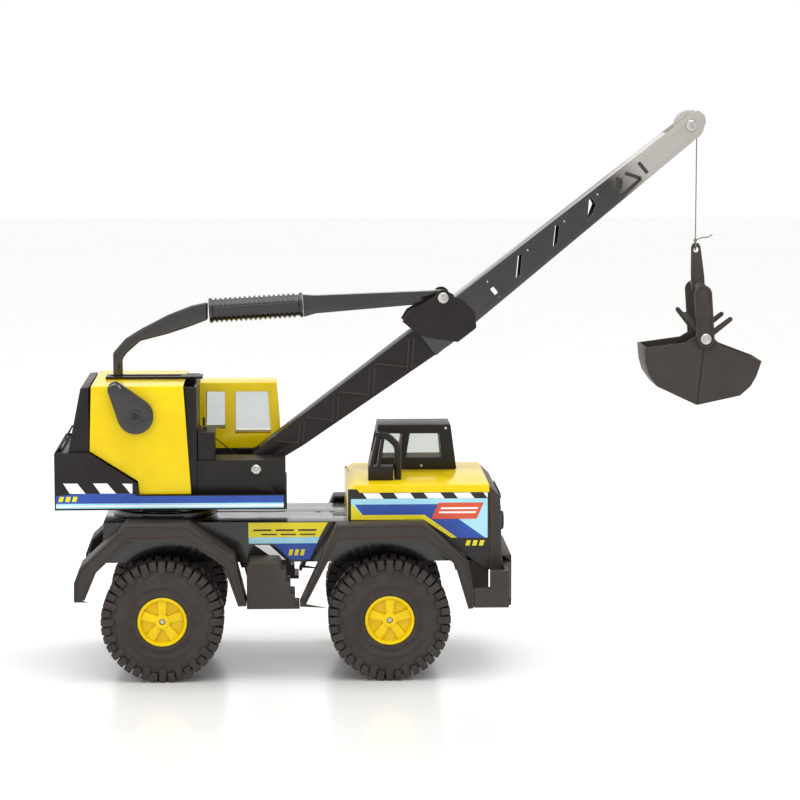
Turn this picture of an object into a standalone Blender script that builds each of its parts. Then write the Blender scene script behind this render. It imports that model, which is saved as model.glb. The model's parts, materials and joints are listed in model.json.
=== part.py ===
"""Toy crane truck with a slewing turret, a luffing boom, a crank winch and a clamshell bucket.

Units are metres and +Z is up. The truck faces +X. The origin is on the floor, under the middle
of the whole toy. Pieces are laid out from the slew axis, which stands over the rear axle, so most
x values below are distances in front of the rear axle.
"""

import math

import bmesh
import bpy
from mathutils import Matrix, Vector

# Fits
GAP = 0.0003  # between pieces that touch
RUN = 0.0004  # radial, between a pin and what turns on it
SHEET = 0.0010  # steel sheet
WALL = 0.0020  # moulded plastic

# Wheels and axles
REAR_AXLE_X = -0.2435
WHEELBASE = 0.220
TYRE_RADIUS = 0.0595
TYRE_WIDTH = 0.042
TYRE_WALL = 0.0035
WHEEL_OUTER_Y = 0.104
RIM_RADIUS = 0.024
RIM_RECESS = 0.007
AXLE_RADIUS = 0.0025
BRACKET_Y = 0.048

# Chassis
DECK_ABOVE_TYRES = 0.031
DECK_HALF_WIDTH = 0.058
DECK_DEPTH = 0.040
DECK_REAR_X = -0.0585
FENDER_OUTER_Y = 0.106
FENDER_BAND = 0.0145
ARCH_FLOOR = 0.016  # height of the wheel arches' feet above the axle
SKIRT_DROP = 0.012  # how far the side tank hangs below the axle line's arch feet
TANK_SHARE = 0.66  # of the room between the arches; the steps take the rest
KINGPIN_RADIUS = 0.004
RING_RADIUS = 0.052
TURNTABLE_HEIGHT = 0.015

# Front body, from the front axle
HOOD_HALF_WIDTH = 0.078
HOOD_HEIGHT = 0.0385  # above the deck
HOOD_REAR = -0.040
HOOD_FRONT = 0.098
GRILLE_DEPTH = 0.013
BUMPER_HEIGHT = 0.0365
BUMPER_DEPTH = 0.0235  # beyond the hood, at the proud middle
CAB_REAR = -0.016
CAB_LENGTH = 0.088
CAB_HEIGHT = 0.0455
CAB_NEAR_Y = 0.025
CAB_WIDTH = 0.048
INTAKE_Y = -0.040

# Turret, from the slew axis; heights above the tray's underside
TRAY_REAR = -0.104
TRAY_FRONT = 0.121
TRAY_HALF_WIDTH = 0.075
TRAY_SIDE = 0.0145
TRAY_BACK = 0.056
COVER_HALF_WIDTH = 0.070
COVER_HEIGHT = 0.1204
COVER_REAR = -0.070
COVER_FRONT = 0.021
WINCH_X, WINCH_Z = -0.025, 0.092
DRUM_RADIUS = 0.008
CRANK_THROW = 0.0324
HOUSING_HEIGHT = 0.0465
HOUSING_HALF_WIDTH = 0.062
BOOM_SLOT = 0.0215  # half the gap that the boom's foot drops into
OPERATOR_CAB_HEIGHT = 0.066
MACHINERY_HEIGHT = 0.0275
MACHINERY_FRONT = 0.051
LINE_HOLE_Z = 0.0735  # where the hoist line passes the bulkhead

# Boom, along its own centre line from its pivot
PIVOT_X, PIVOT_Z = 0.091, 0.037
BOOM_ANGLE = math.radians(37.5)
BOOM_LENGTH = 0.543  # pivot to the tip pin
BOOM_HALF_WIDTH = 0.018
LOWER_HALF_WIDTH = 0.0162
BOOM_TOP = 0.0102
BOOM_BOTTOM = -0.0238
LOWER_BOOM_LENGTH = 0.234
STRUT_PIN_ALONG, STRUT_PIN_UP = 0.2464, 0.0175
TIP_PIN_UP = 0.0030
LINE_ENTRY = (0.004, -0.0075)  # where the hoist line comes into the boom
PIN_RADIUS = 0.0025
SHEAVE_RADIUS = 0.015
SHEAVE_GROOVE = 0.0070

# Strut
FOOT_X = -0.0456
LEG_WIDTH = 0.0095
SLOT_TRAVEL = 0.052
GRIP_LENGTH = 0.090
GRIP_RADIUS = 0.0125

# Hoist line and bucket
LINE_RADIUS = 0.0006
LINE_DROP = 0.114  # tip pin to the knot
HANGER_DROP = 0.0955  # knot to the jaws' pin
HANGER_HEAD = 0.0105  # knot to the top of the hanger's bow
BUCKET_LEAN = math.radians(4.0)  # of the arms, pin forward
JAWS_TILT = math.radians(6.5)  # of the jaws, front end down
BUCKET_HALF_WIDTH = 0.030
JAW_REACH = 0.0586
JAW_DEPTH = 0.0665
ARM_WIDTH = 0.0175

# What follows from those
AXLE_Z = TYRE_RADIUS
DECK_Z = 2 * TYRE_RADIUS + DECK_ABOVE_TYRES
TRAY_Z = DECK_Z + TURNTABLE_HEIGHT
TRUCK = Vector((REAR_AXLE_X, 0, 0))

MAIN = bpy.data.collections.new("toy_crane_truck")
CUTTERS = bpy.data.collections.new("cutters")


# Materials
def paint(name, red, green, blue, roughness, metallic=0.0):
    made = bpy.data.materials.new(name)
    made.use_nodes = True
    shader = made.node_tree.nodes["Principled BSDF"]
    shader.inputs["Base Color"].default_value = (red, green, blue, 1)
    shader.inputs["Roughness"].default_value = roughness
    shader.inputs["Metallic"].default_value = metallic
    made.diffuse_color = (red, green, blue, 1)
    return made


YELLOW = paint("yellow_enamel", 0.92, 0.66, 0.0, 0.3)
BLACK = paint("black_plastic", 0.05, 0.045, 0.042, 0.5)
GLOSS = paint("black_enamel", 0.03, 0.028, 0.026, 0.25)
SILVER = paint("light_grey_enamel", 0.66, 0.65, 0.62, 0.35)
STEEL = paint("plated_steel", 0.6, 0.6, 0.6, 0.3, 1.0)
RUBBER = paint("tyre_vinyl", 0.05, 0.046, 0.044, 0.65)
GLASS = paint("smoked_window", 0.72, 0.76, 0.76, 0.15)
CORD = paint("black_cord", 0.03, 0.03, 0.03, 0.8)


# Modelling helpers
def link(made, parent, material):
    MAIN.objects.link(made)
    made.parent = parent
    if material:
        made.data.materials.clear()
        made.data.materials.append(material)
    return made


def frame(name, parent, location, angle=0.0):
    """An empty on a joint's axis; angle tips its +X upwards."""
    made = bpy.data.objects.new(name, None)
    made.location = location
    made.rotation_euler = (0, -angle, 0)
    return link(made, parent, None)


def mesh_of(curve):
    """The curve object as a mesh object, with its caps welded on."""
    bpy.context.scene.collection.objects.link(curve)
    bpy.context.view_layer.update()
    evaluated = curve.evaluated_get(bpy.context.evaluated_depsgraph_get())
    mesh = bpy.data.meshes.new_from_object(evaluated)
    made = bpy.data.objects.new(curve.name + "_mesh", mesh)
    made.matrix_world = curve.matrix_world
    name = curve.name
    bpy.data.objects.remove(curve)
    made.name = name
    shape = bmesh.new()
    shape.from_mesh(mesh)
    bmesh.ops.remove_doubles(shape, verts=shape.verts, dist=1e-6)
    bmesh.ops.recalc_face_normals(shape, faces=shape.faces)
    shape.to_mesh(mesh)
    shape.free()
    return made


def outline_curve(name, outlines, thickness):
    """A flat outline, extruded; outlines after the first are its holes."""
    curve = bpy.data.curves.new(name, "CURVE")
    curve.dimensions = "2D"
    curve.fill_mode = "BOTH"
    curve.extrude = thickness / 2
    for points in outlines:
        spline = curve.splines.new("POLY")
        spline.points.add(len(points) - 1)
        for point, (across, up) in zip(spline.points, points):
            point.co = (across, up, 0, 1)
        spline.use_cyclic_u = True
    return bpy.data.objects.new(name, curve)


def plate(name, outlines, y_from, y_to):
    """A side-view outline of (x, z) points, extruded across the truck."""
    curve = outline_curve(name, outlines, abs(y_to - y_from))
    curve.rotation_euler = (math.pi / 2, 0, 0)
    curve.location = (0, (y_from + y_to) / 2, 0)
    return mesh_of(curve)


def flat(name, outlines, z_from, z_to):
    """A plan outline of (x, y) points, extruded upwards."""
    curve = outline_curve(name, outlines, z_to - z_from)
    curve.location = (0, 0, (z_from + z_to) / 2)
    return mesh_of(curve)


def circle(across, up, radius, steps=12):
    turns = [2 * math.pi * step / steps for step in range(steps)]
    return [(across + radius * math.cos(t), up + radius * math.sin(t)) for t in turns]


def arc(across, up, radius, start, end, steps):
    """Points along an arc, angles in degrees."""
    turns = [math.radians(start + (end - start) * step / steps) for step in range(steps + 1)]
    return [(across + radius * math.cos(t), up + radius * math.sin(t)) for t in turns]


def rectangle(left, right, bottom, top):
    return [(left, bottom), (right, bottom), (right, top), (left, top)]


def box(name, low, high):
    bpy.ops.mesh.primitive_cube_add(size=1)
    made = bpy.context.active_object
    made.name = name
    size = [b - a for a, b in zip(low, high)]
    middle = [(a + b) / 2 for a, b in zip(low, high)]
    made.data.transform(Matrix.Translation(middle) @ Matrix.Diagonal((*size, 1)))
    bpy.context.collection.objects.unlink(made)
    return made


def rod(name, start, end, radius, steps=12):
    """A cylinder between two points."""
    along = Vector(end) - Vector(start)
    bpy.ops.mesh.primitive_cylinder_add(vertices=steps, radius=radius, depth=along.length)
    made = bpy.context.active_object
    made.name = name
    turn = Vector((0, 0, 1)).rotation_difference(along).to_matrix().to_4x4()
    made.data.transform(Matrix.Translation((Vector(start) + Vector(end)) / 2) @ turn)
    bpy.context.collection.objects.unlink(made)
    return made


def tube(name, points, radius, resolution=2):
    curve = bpy.data.curves.new(name, "CURVE")
    curve.dimensions = "3D"
    curve.bevel_depth = radius
    curve.bevel_resolution = resolution
    curve.use_fill_caps = True
    spline = curve.splines.new("POLY")
    spline.points.add(len(points) - 1)
    for point, place in zip(spline.points, points):
        point.co = (*place, 1)
    return mesh_of(bpy.data.objects.new(name, curve))


def turned(name, profile, centre, steps=24, closed=False):
    """A (radius, y) profile turned about an axis along Y; the profile runs from +Y to -Y."""
    mesh = bpy.data.meshes.new(name)
    count = len(profile)
    edges = [(i, i + 1) for i in range(count - 1)] + ([(count - 1, 0)] if closed else [])
    mesh.from_pydata([(radius, 0, along) for radius, along in profile], edges, [])
    made = bpy.data.objects.new(name, mesh)
    made.rotation_euler = (-math.pi / 2, 0, 0)
    made.location = centre
    screw = made.modifiers.new("turn", "SCREW")
    screw.steps = steps
    screw.render_steps = steps
    screw.use_merge_vertices = True
    screw.merge_threshold = 1e-5
    return made


def cut(made, *cutters, operation="DIFFERENCE"):
    for cutter in cutters:
        if cutter.name not in CUTTERS.objects:
            CUTTERS.objects.link(cutter)
        cutter.parent = made.parent
        cutter.hide_render = True
        cutter.display_type = "WIRE"
        step = made.modifiers.new(operation.lower(), "BOOLEAN")
        step.operation = operation
        step.object = cutter
    return made


def join(made, *others):
    return cut(made, *others, operation="UNION")


def shell(name, outline, half_width, inner_outline, inner_half_width):
    """A wide extrusion with a narrower one taken out of it, which leaves cheeks and a skin."""
    made = plate(name, [outline], -half_width, half_width)
    inside = plate(name + "_inside", [inner_outline], -inner_half_width, inner_half_width)
    return made, inside


def pinned(name, radius, half_length, head_radius, head, centre):
    """A headed pin along Y."""
    profile = [
        (0, half_length + head),
        (head_radius * 0.7, half_length + head),
        (head_radius, half_length + head * 0.4),
        (head_radius, half_length),
        (radius, half_length),
        (radius, -half_length),
        (head_radius, -half_length),
        (head_radius, -half_length - head * 0.4),
        (head_radius * 0.7, -half_length - head),
        (0, -half_length - head),
    ]
    return turned(name, profile, centre, 16)


# Wheels
def mirrored(points):
    """The same (radius, y) points on the -Y side, in the order that carries a profile on."""
    return [(radius, -along) for radius, along in reversed(points)]


def wheels(truck):
    """Four hollow tyres, open at the bead, on their rims; each wheel turns on its axle."""
    middle = WHEEL_OUTER_Y - TYRE_WIDTH / 2
    half = TYRE_WIDTH / 2
    bead = RIM_RADIUS + GAP
    wall = TYRE_WALL
    outside = [
        (bead, half - 0.003),
        (bead + 0.011, half - 0.0005),
        (TYRE_RADIUS - 0.004, half),
        (TYRE_RADIUS, half - 0.004),
    ]
    inside = [
        (TYRE_RADIUS - wall, half - wall - 0.002),
        (TYRE_RADIUS - wall - 0.002, half - wall),
        (bead + 0.011, half - wall - 0.0005),
        (bead, half - wall - 0.003),
    ]
    tyre = outside + mirrored(outside) + mirrored(inside) + inside
    bore = AXLE_RADIUS + RUN
    for axle, axle_x in (("rear", 0.0), ("front", WHEELBASE)):
        for side, sign in (("right", -1), ("left", 1)):
            spin = frame(f"wheel_{axle}_{side}", truck, (axle_x, sign * middle, AXLE_Z))
            if sign < 0:
                spin.rotation_euler = (0, 0, math.pi)
            rim = [
                (bore, half - RIM_RECESS),
                (RIM_RADIUS - 0.003, half - RIM_RECESS),
                (RIM_RADIUS - 0.003, half - 0.001),
                (RIM_RADIUS, half - 0.001),
                (RIM_RADIUS, -half + 0.004),
                (0.012, -half + 0.004),
                (0.012, -half + 0.001),
                (bore, -half + 0.001),
            ]
            link(turned(f"tyre_{axle}_{side}", tyre, (0, 0, 0), 32, True), spin, RUBBER)
            link(turned(f"rim_{axle}_{side}", rim, (0, 0, 0), 24, True), spin, YELLOW)


def axles(truck):
    for axle, axle_x in (("rear", 0.0), ("front", WHEELBASE)):
        end = WHEEL_OUTER_Y - RIM_RECESS + 0.003
        made = rod(f"{axle}_axle", (axle_x, -end, AXLE_Z), (axle_x, end, AXLE_Z), AXLE_RADIUS)
        link(made, truck, STEEL)
        top = DECK_Z - SHEET - GAP
        side = rectangle(axle_x - 0.022, axle_x + 0.022, AXLE_Z - 0.009, top)
        made = plate(f"{axle}_axle_bracket", [side], -BRACKET_Y, BRACKET_Y)
        inner = rectangle(axle_x - 0.03, axle_x + 0.03, AXLE_Z - 0.02, top - SHEET)
        inside = plate("bracket_inside", [inner], SHEET - BRACKET_Y, BRACKET_Y - SHEET)
        bore = rod("bracket_bore", (axle_x, -0.06, AXLE_Z), (axle_x, 0.06, AXLE_Z), AXLE_RADIUS + RUN)
        relief = rod("kingpin_relief", (0, 0, top - 0.01), (0, 0, top + 0.01), KINGPIN_RADIUS * 2.2)
        link(made, truck, BLACK)
        cut(made, inside, bore)
        if axle_x == 0.0:
            cut(made, relief)


# Chassis
def chassis(truck):
    """The folded deck, the turntable's fixed ring and the kingpin."""
    front = WHEELBASE + HOOD_FRONT - 0.003
    side = rectangle(DECK_REAR_X, front, DECK_Z - DECK_DEPTH, DECK_Z)
    inner = rectangle(DECK_REAR_X + SHEET, front - SHEET, DECK_Z - 0.1, DECK_Z - SHEET)
    deck, inside = shell("chassis_deck", side, DECK_HALF_WIDTH, inner, DECK_HALF_WIDTH - SHEET)
    link(deck, truck, GLOSS)
    bore = rod("kingpin_bore", (0, 0, DECK_Z - 0.01), (0, 0, DECK_Z + 0.01), KINGPIN_RADIUS + RUN, 16)
    holes = [
        rod(f"deck_hole_{n}", (x, 0, DECK_Z - 0.01), (x, 0, DECK_Z + 0.01), 0.003)
        for n, x in enumerate((WHEELBASE - 0.068, WHEELBASE - 0.054))
    ]
    cut(deck, inside, bore, *holes)
    ring_top = DECK_Z + TURNTABLE_HEIGHT / 2 - GAP
    ring = flat(
        "turntable_ring",
        [circle(0, 0, RING_RADIUS, 32), circle(0, 0, KINGPIN_RADIUS + RUN, 16)],
        DECK_Z + GAP,
        ring_top,
    )
    link(ring, truck, BLACK)
    top = TRAY_Z + SHEET + GAP
    low = DECK_Z - SHEET - GAP
    pin = turned(
        "kingpin",
        [
            (0, top + 0.004),
            (KINGPIN_RADIUS * 1.6, top + 0.004),
            (KINGPIN_RADIUS * 1.8, top + 0.001),
            (KINGPIN_RADIUS * 1.8, top),
            (KINGPIN_RADIUS, top),
            (KINGPIN_RADIUS, low),
            (KINGPIN_RADIUS * 1.8, low),
            (KINGPIN_RADIUS * 1.8, low - 0.003),
            (0, low - 0.003),
        ],
        (0, 0, 0),
        16,
    )
    pin.rotation_euler = (0, 0, 0)
    link(pin, truck, STEEL)


def arch_points(axle_x, polar):
    """Points round a wheel: (angle in degrees, distance beyond the tread)."""
    points = []
    for angle, beyond in polar:
        reach = TYRE_RADIUS + beyond
        turn = math.radians(angle)
        points.append((axle_x + reach * math.cos(turn), AXLE_Z + reach * math.sin(turn)))
    return points


REAR_ARCH_OUTER = [
    (165, 0.028),
    (154.8, 0.0335),
    (146, 0.0358),
    (109, 0.042),
    (75, 0.039),
    (41.7, 0.034),
    (11, 0.0235),
]
REAR_ARCH_INNER = [(12, 0.0155), (43, 0.022), (74, 0.0245), (111, 0.0265), (141.7, 0.0205), (163, 0.018)]
FRONT_ARCH_OUTER = [
    (169, 0.029),
    (118.5, 0.0475),
    (71, 0.0413),
    (37, 0.0355),
    (20.7, 0.0268),
    (8.5, 0.0225),
]
FRONT_ARCH_INNER = [(8.6, 0.0174), (41.4, 0.0243), (67.8, 0.027), (122.2, 0.0335), (168.5, 0.0235)]


def arch_foot(axle_x, side, polar):
    """How far along the truck an arch's outer line reaches at its foot."""
    return max(side * x for x, _ in arch_points(axle_x, polar)) * side


def fender(name, axle_x, outer, inner, inner_y, sign, truck):
    """A moulded arch: a flat band facing out, and a skin that runs in to the body."""
    band = arch_points(axle_x, outer) + arch_points(axle_x, inner)
    made = plate(name, [band], sign * (FENDER_OUTER_Y - WALL), sign * FENDER_OUTER_Y)
    over = arch_points(axle_x, outer)
    under = arch_points(axle_x, [(angle, beyond - WALL * 1.2) for angle, beyond in outer])
    skin = plate(name + "_skin", [over + under[::-1]], sign * inner_y, sign * (FENDER_OUTER_Y - 0.0005))
    link(made, truck, BLACK)
    join(made, skin)
    return made


def side_mouldings(truck):
    """Fenders and, between them, the side tank and its steps, on both sides."""
    for side, sign in (("right", -1), ("left", 1)):
        rear_in, front_in = DECK_HALF_WIDTH + GAP, HOOD_HALF_WIDTH + GAP
        fender(f"rear_fender_{side}", 0.0, REAR_ARCH_OUTER, REAR_ARCH_INNER, rear_in, sign, truck)
        fender(
            f"front_fender_{side}",
            WHEELBASE,
            FRONT_ARCH_OUTER,
            FRONT_ARCH_INNER,
            front_in,
            sign,
            truck,
        )
        tank_from = arch_foot(0.0, 1, REAR_ARCH_OUTER[5:]) + GAP
        tank_to = WHEELBASE - max(
            WHEELBASE - x
            for x, _ in arch_points(WHEELBASE, FRONT_ARCH_OUTER)
        ) - GAP
        tank_end = tank_from + TANK_SHARE * (tank_to - tank_from)
        low = AXLE_Z + SKIRT_DROP
        top = DECK_Z - DECK_DEPTH + 0.007
        outer, inner = sign * (FENDER_OUTER_Y - 0.004), sign * (DECK_HALF_WIDTH + GAP)
        tank = plate(
            f"side_tank_{side}",
            [
                [
                    (tank_from, low),
                    (tank_end, low),
                    (tank_end, top - 0.004),
                    (tank_end - 0.003, top),
                    (tank_from + 0.003, top),
                    (tank_from, top - 0.004),
                ],
            ],
            outer,
            inner,
        )
        link(tank, truck, BLACK)
        tread = (top - low) / 4
        steps = [(tank_end - 0.001, low), (tank_to, low), (tank_to, low + 0.003)]
        for n in range(3):
            height = low + 0.003 + n * tread
            run = (tank_to - tank_end) * 0.75 / 3
            left = tank_to - (n + 1) * run
            steps += [(left, height), (left, height + tread)]
        steps += [(tank_end - 0.001, low + 0.003 + 3 * tread)]
        ladder = plate(f"ladder_{side}", [steps], outer, inner)
        hollow = rectangle(tank_from + WALL, tank_end - WALL, low + WALL, top - 0.003 - WALL)
        join(tank, ladder)
        cut(tank, plate(f"tank_inside_{side}", [hollow], outer - sign * WALL, inner - sign * 0.01))


# Front body
def front_body(truck):
    """The hood with its sides, the grille and the bumper, all laid out from the front axle."""
    x = WHEELBASE
    top = DECK_Z + HOOD_HEIGHT
    rear, front = x + HOOD_REAR, x + HOOD_FRONT
    low = DECK_Z - 0.014
    side = [
        (rear, low),
        (x + 0.050, low),
        (front, DECK_Z - 0.046),
        (front, top),
        (rear + 0.008, top),
        (rear, top - 0.006),
    ]
    inner = [
        (rear + SHEET, low - 0.1),
        (front + 0.1, low - 0.1),
        (front + 0.1, top - SHEET),
        (rear + 0.008, top - SHEET),
        (rear + SHEET, top - 0.007),
    ]
    hood, inside = shell("hood", side, HOOD_HALF_WIDTH, inner, HOOD_HALF_WIDTH - SHEET)
    link(hood, truck, YELLOW)
    notch = box(
        "deck_notch",
        (rear - 0.01, -DECK_HALF_WIDTH - GAP, low - 0.01),
        (rear + 0.01, DECK_HALF_WIDTH + GAP, DECK_Z + GAP),
    )
    cut(hood, inside, notch)
    grille = [
        (front + GAP, DECK_Z - 0.046),
        (front + GRILLE_DEPTH, DECK_Z - 0.046),
        (front + GRILLE_DEPTH - 0.0023, top - 0.0114),
        (front + GAP, top - 0.0015),
    ]
    hollow = [
        (front - 0.01, DECK_Z - 0.1),
        (front + GRILLE_DEPTH - WALL, DECK_Z - 0.1),
        (front + GRILLE_DEPTH - WALL - 0.0023, top - 0.0134),
        (front - 0.01, top - 0.006),
    ]
    made, inside = shell("front_grille", grille, HOOD_HALF_WIDTH, hollow, HOOD_HALF_WIDTH - WALL)
    link(made, truck, BLACK)
    slots = [
        box(
            f"grille_slot_{n}",
            (front + 0.002, -0.05, DECK_Z - 0.034 + 0.011 * n),
            (front + 0.03, 0.05, DECK_Z - 0.029 + 0.011 * n),
        )
        for n in range(5)
    ]
    cut(made, inside, *slots)
    bumper(truck, front)


def bumper(truck, front):
    """A deep moulded bumper whose middle stands proud, with arms back to the front fenders' feet."""
    low = AXLE_Z + 0.0125
    rear = front + GRILLE_DEPTH + GAP
    tip = front + BUMPER_DEPTH
    y = FENDER_OUTER_Y
    plan = [
        (rear, -y + 0.006),
        (front - 0.001, -y + 0.006),
        (front - 0.001, -y),
        (tip - 0.006, -y),
        (tip - 0.006, -0.066),
        (tip - 0.001, -0.060),
        (tip - 0.001, 0.060),
        (tip - 0.006, 0.066),
        (tip - 0.006, y),
        (front - 0.001, y),
        (front - 0.001, y - 0.006),
        (rear, y - 0.006),
    ]
    made = flat("front_bumper", [plan], low, low + BUMPER_HEIGHT)
    link(made, truck, BLACK)
    foot = arch_foot(WHEELBASE, 1, FRONT_ARCH_OUTER[-1:]) + GAP
    arms = [
        box(f"bumper_arm_{n}", (foot, near, low), (front + 0.004, near + 0.010, low + 0.019))
        for n, near in enumerate((-y, y - 0.010))
    ]
    inside = box(
        "bumper_inside",
        (rear - 0.001 - 0.02, -y + 0.004, low - 0.01),
        (tip - 0.006 - WALL, y - 0.004, low + BUMPER_HEIGHT - WALL),
    )
    middle = box("bumper_middle", (rear, -0.058, low - 0.007), (tip, 0.058, low + BUMPER_HEIGHT + 0.007))
    cut(made, inside)
    join(made, middle, *arms)


def truck_cab(truck):
    """Moulded frame with open windows, and the one-piece window insert inside it."""
    rear = WHEELBASE + CAB_REAR
    front = rear + CAB_LENGTH
    low = DECK_Z + HOOD_HEIGHT + GAP
    top = low + CAB_HEIGHT
    near, far = CAB_NEAR_Y, CAB_NEAR_Y + CAB_WIDTH
    outline = [(rear, low), (front, low), (front - 0.006, top), (rear + 0.009, top)]
    inset = WALL + 0.0005
    inner = [
        (rear + WALL, low - 0.01),
        (front - WALL, low - 0.01),
        (front - 0.006 - WALL, top - WALL),
        (rear + 0.009 + WALL, top - WALL),
    ]
    made = plate("truck_cab", [outline], near, far)
    link(made, truck, BLACK)
    front_window = [
        (rear + 0.037, low + 0.012),
        (front - 0.015, low + 0.012),
        (front - 0.017, top - 0.009),
        (rear + 0.041, top - 0.009),
    ]
    rear_window = [
        (rear + 0.011, low + 0.012),
        (rear + 0.030, low + 0.012),
        (rear + 0.034, top - 0.009),
        (rear + 0.017, top - 0.009),
    ]
    cutters = [
        plate("cab_inside", [inner], near + WALL, far - WALL),
        plate("cab_front_window", [front_window], near - 0.01, far + 0.01),
        plate("cab_rear_window", [rear_window], near - 0.01, far + 0.01),
        box(
            "cab_windscreen",
            (rear - 0.01, near + 0.007, low + 0.014),
            (front + 0.01, far - 0.007, top - 0.010),
        ),
    ]
    cut(made, *cutters)
    skin = 0.001
    glass_outline = [
        (rear + 2 * inset, low + 0.001),
        (front - 2 * inset, low + 0.001),
        (front - 0.006 - 1.6 * inset, top - WALL - GAP),
        (rear + 0.009 + 1.6 * inset, top - WALL - GAP),
    ]
    glass_inner = [
        (rear + 2 * inset + skin, low - 0.01),
        (front - 2 * inset - skin, low - 0.01),
        (front - 0.006 - 1.6 * inset - skin, top - WALL - GAP - skin),
        (rear + 0.009 + 1.6 * inset + skin, top - WALL - GAP - skin),
    ]
    glass = plate("truck_cab_glass", [glass_outline], near + WALL + GAP, far - WALL - GAP)
    link(glass, truck, GLASS)
    cut(
        glass,
        plate("cab_glass_inside", [glass_inner], near + WALL + GAP + skin, far - WALL - GAP - skin),
    )


def air_intake(truck):
    """Box, slatted post and bent pipe on the open side of the hood, behind the cab."""
    rear = WHEELBASE + CAB_REAR
    low = DECK_Z + HOOD_HEIGHT + GAP
    half = 0.008
    made = box(
        "air_intake",
        (rear - 0.003, INTAKE_Y - half, low),
        (rear + 0.0215, INTAKE_Y + half, low + 0.0135),
    )
    link(made, truck, BLACK)
    posts = [
        plate(
            f"intake_post_{n}",
            [
                [
                    (rear - 0.002 + d, low + 0.012),
                    (rear + 0.001 + d, low + 0.012),
                    (rear + 0.0085 + d * 0.7, low + 0.046),
                    (rear + 0.0055 + d * 0.7, low + 0.046),
                ],
            ],
            INTAKE_Y - half,
            INTAKE_Y + half,
        )
        for n, d in enumerate((0.0, 0.0075))
    ]
    pipe_y = INTAKE_Y - 0.002
    bend = [
        (0.0045, 0.0425),
        (0.013, 0.0440),
        (0.019, 0.0405),
        (0.0245, 0.0350),
        (0.0262, 0.0300),
        (0.0262, 0.0005),
    ]
    pipe = tube("intake_pipe", [(rear + dx, pipe_y, low + dz) for dx, dz in bend], 0.0036, 2)
    join(made, *posts, pipe)


# Turret
def tray(turret):
    """The folded steel tray that carries everything that slews, with the turning disc under it."""
    side = [
        (TRAY_REAR, 0),
        (TRAY_FRONT, 0),
        (TRAY_FRONT, TRAY_SIDE),
        (COVER_FRONT - 0.044, TRAY_SIDE),
        (COVER_FRONT - 0.045, 0.026),
        (COVER_REAR, TRAY_BACK),
        (TRAY_REAR, TRAY_BACK),
    ]
    inner = rectangle(TRAY_REAR + SHEET, TRAY_FRONT - SHEET, SHEET, 0.2)
    made, inside = shell("turret_tray", side, TRAY_HALF_WIDTH, inner, TRAY_HALF_WIDTH - SHEET)
    link(made, turret, GLOSS)
    bore = rod("tray_bore", (0, 0, -0.01), (0, 0, 0.01), KINGPIN_RADIUS + RUN, 16)
    cut(made, inside, bore)
    disc = flat(
        "turntable_disc",
        [circle(0, 0, RING_RADIUS - 0.0015, 32), circle(0, 0, KINGPIN_RADIUS + RUN, 16)],
        -TURNTABLE_HEIGHT / 2 + GAP,
        -GAP,
    )
    link(disc, turret, BLACK)


def engine_cover(turret):
    """Yellow steel cover, open below, with a slot in its roof for the strut's foot."""
    outline = [
        (COVER_REAR, TRAY_BACK + 0.001),
        (COVER_FRONT - 0.0445, 0.0275),
        (COVER_FRONT - 0.0435, TRAY_SIDE),
        (COVER_FRONT + 0.007, TRAY_SIDE),
        (COVER_FRONT, COVER_HEIGHT),
        (COVER_REAR + 0.002, COVER_HEIGHT),
    ]
    inner = rectangle(COVER_REAR - 0.05, COVER_FRONT + 0.05, -0.01, COVER_HEIGHT - SHEET)
    made, inside = shell("engine_cover", outline, COVER_HALF_WIDTH, inner, COVER_HALF_WIDTH - SHEET)
    link(made, turret, YELLOW)
    bore = rod("winch_bore", (WINCH_X, -0.1, WINCH_Z), (WINCH_X, 0.1, WINCH_Z), 0.0035 + RUN, 16)
    roof = COVER_HEIGHT
    slot_from = FOOT_X - LEG_WIDTH / 2 - 0.003
    slot_to = slot_from + SLOT_TRAVEL + LEG_WIDTH + 0.008
    half = LEG_WIDTH / 2 + 0.0012
    slot = box("roof_slot", (slot_from, -half, roof - 0.01), (slot_to, half, roof + 0.01))
    cut(made, inside, bore, slot)
    guide = flat(
        "roof_slide_guide",
        [
            rectangle(slot_from - 0.004, slot_to + 0.022, -0.012, 0.012),
            rectangle(slot_from, slot_to, -half, half),
        ],
        roof + GAP,
        roof + 0.0028,
    )
    link(guide, turret, BLACK)


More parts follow.
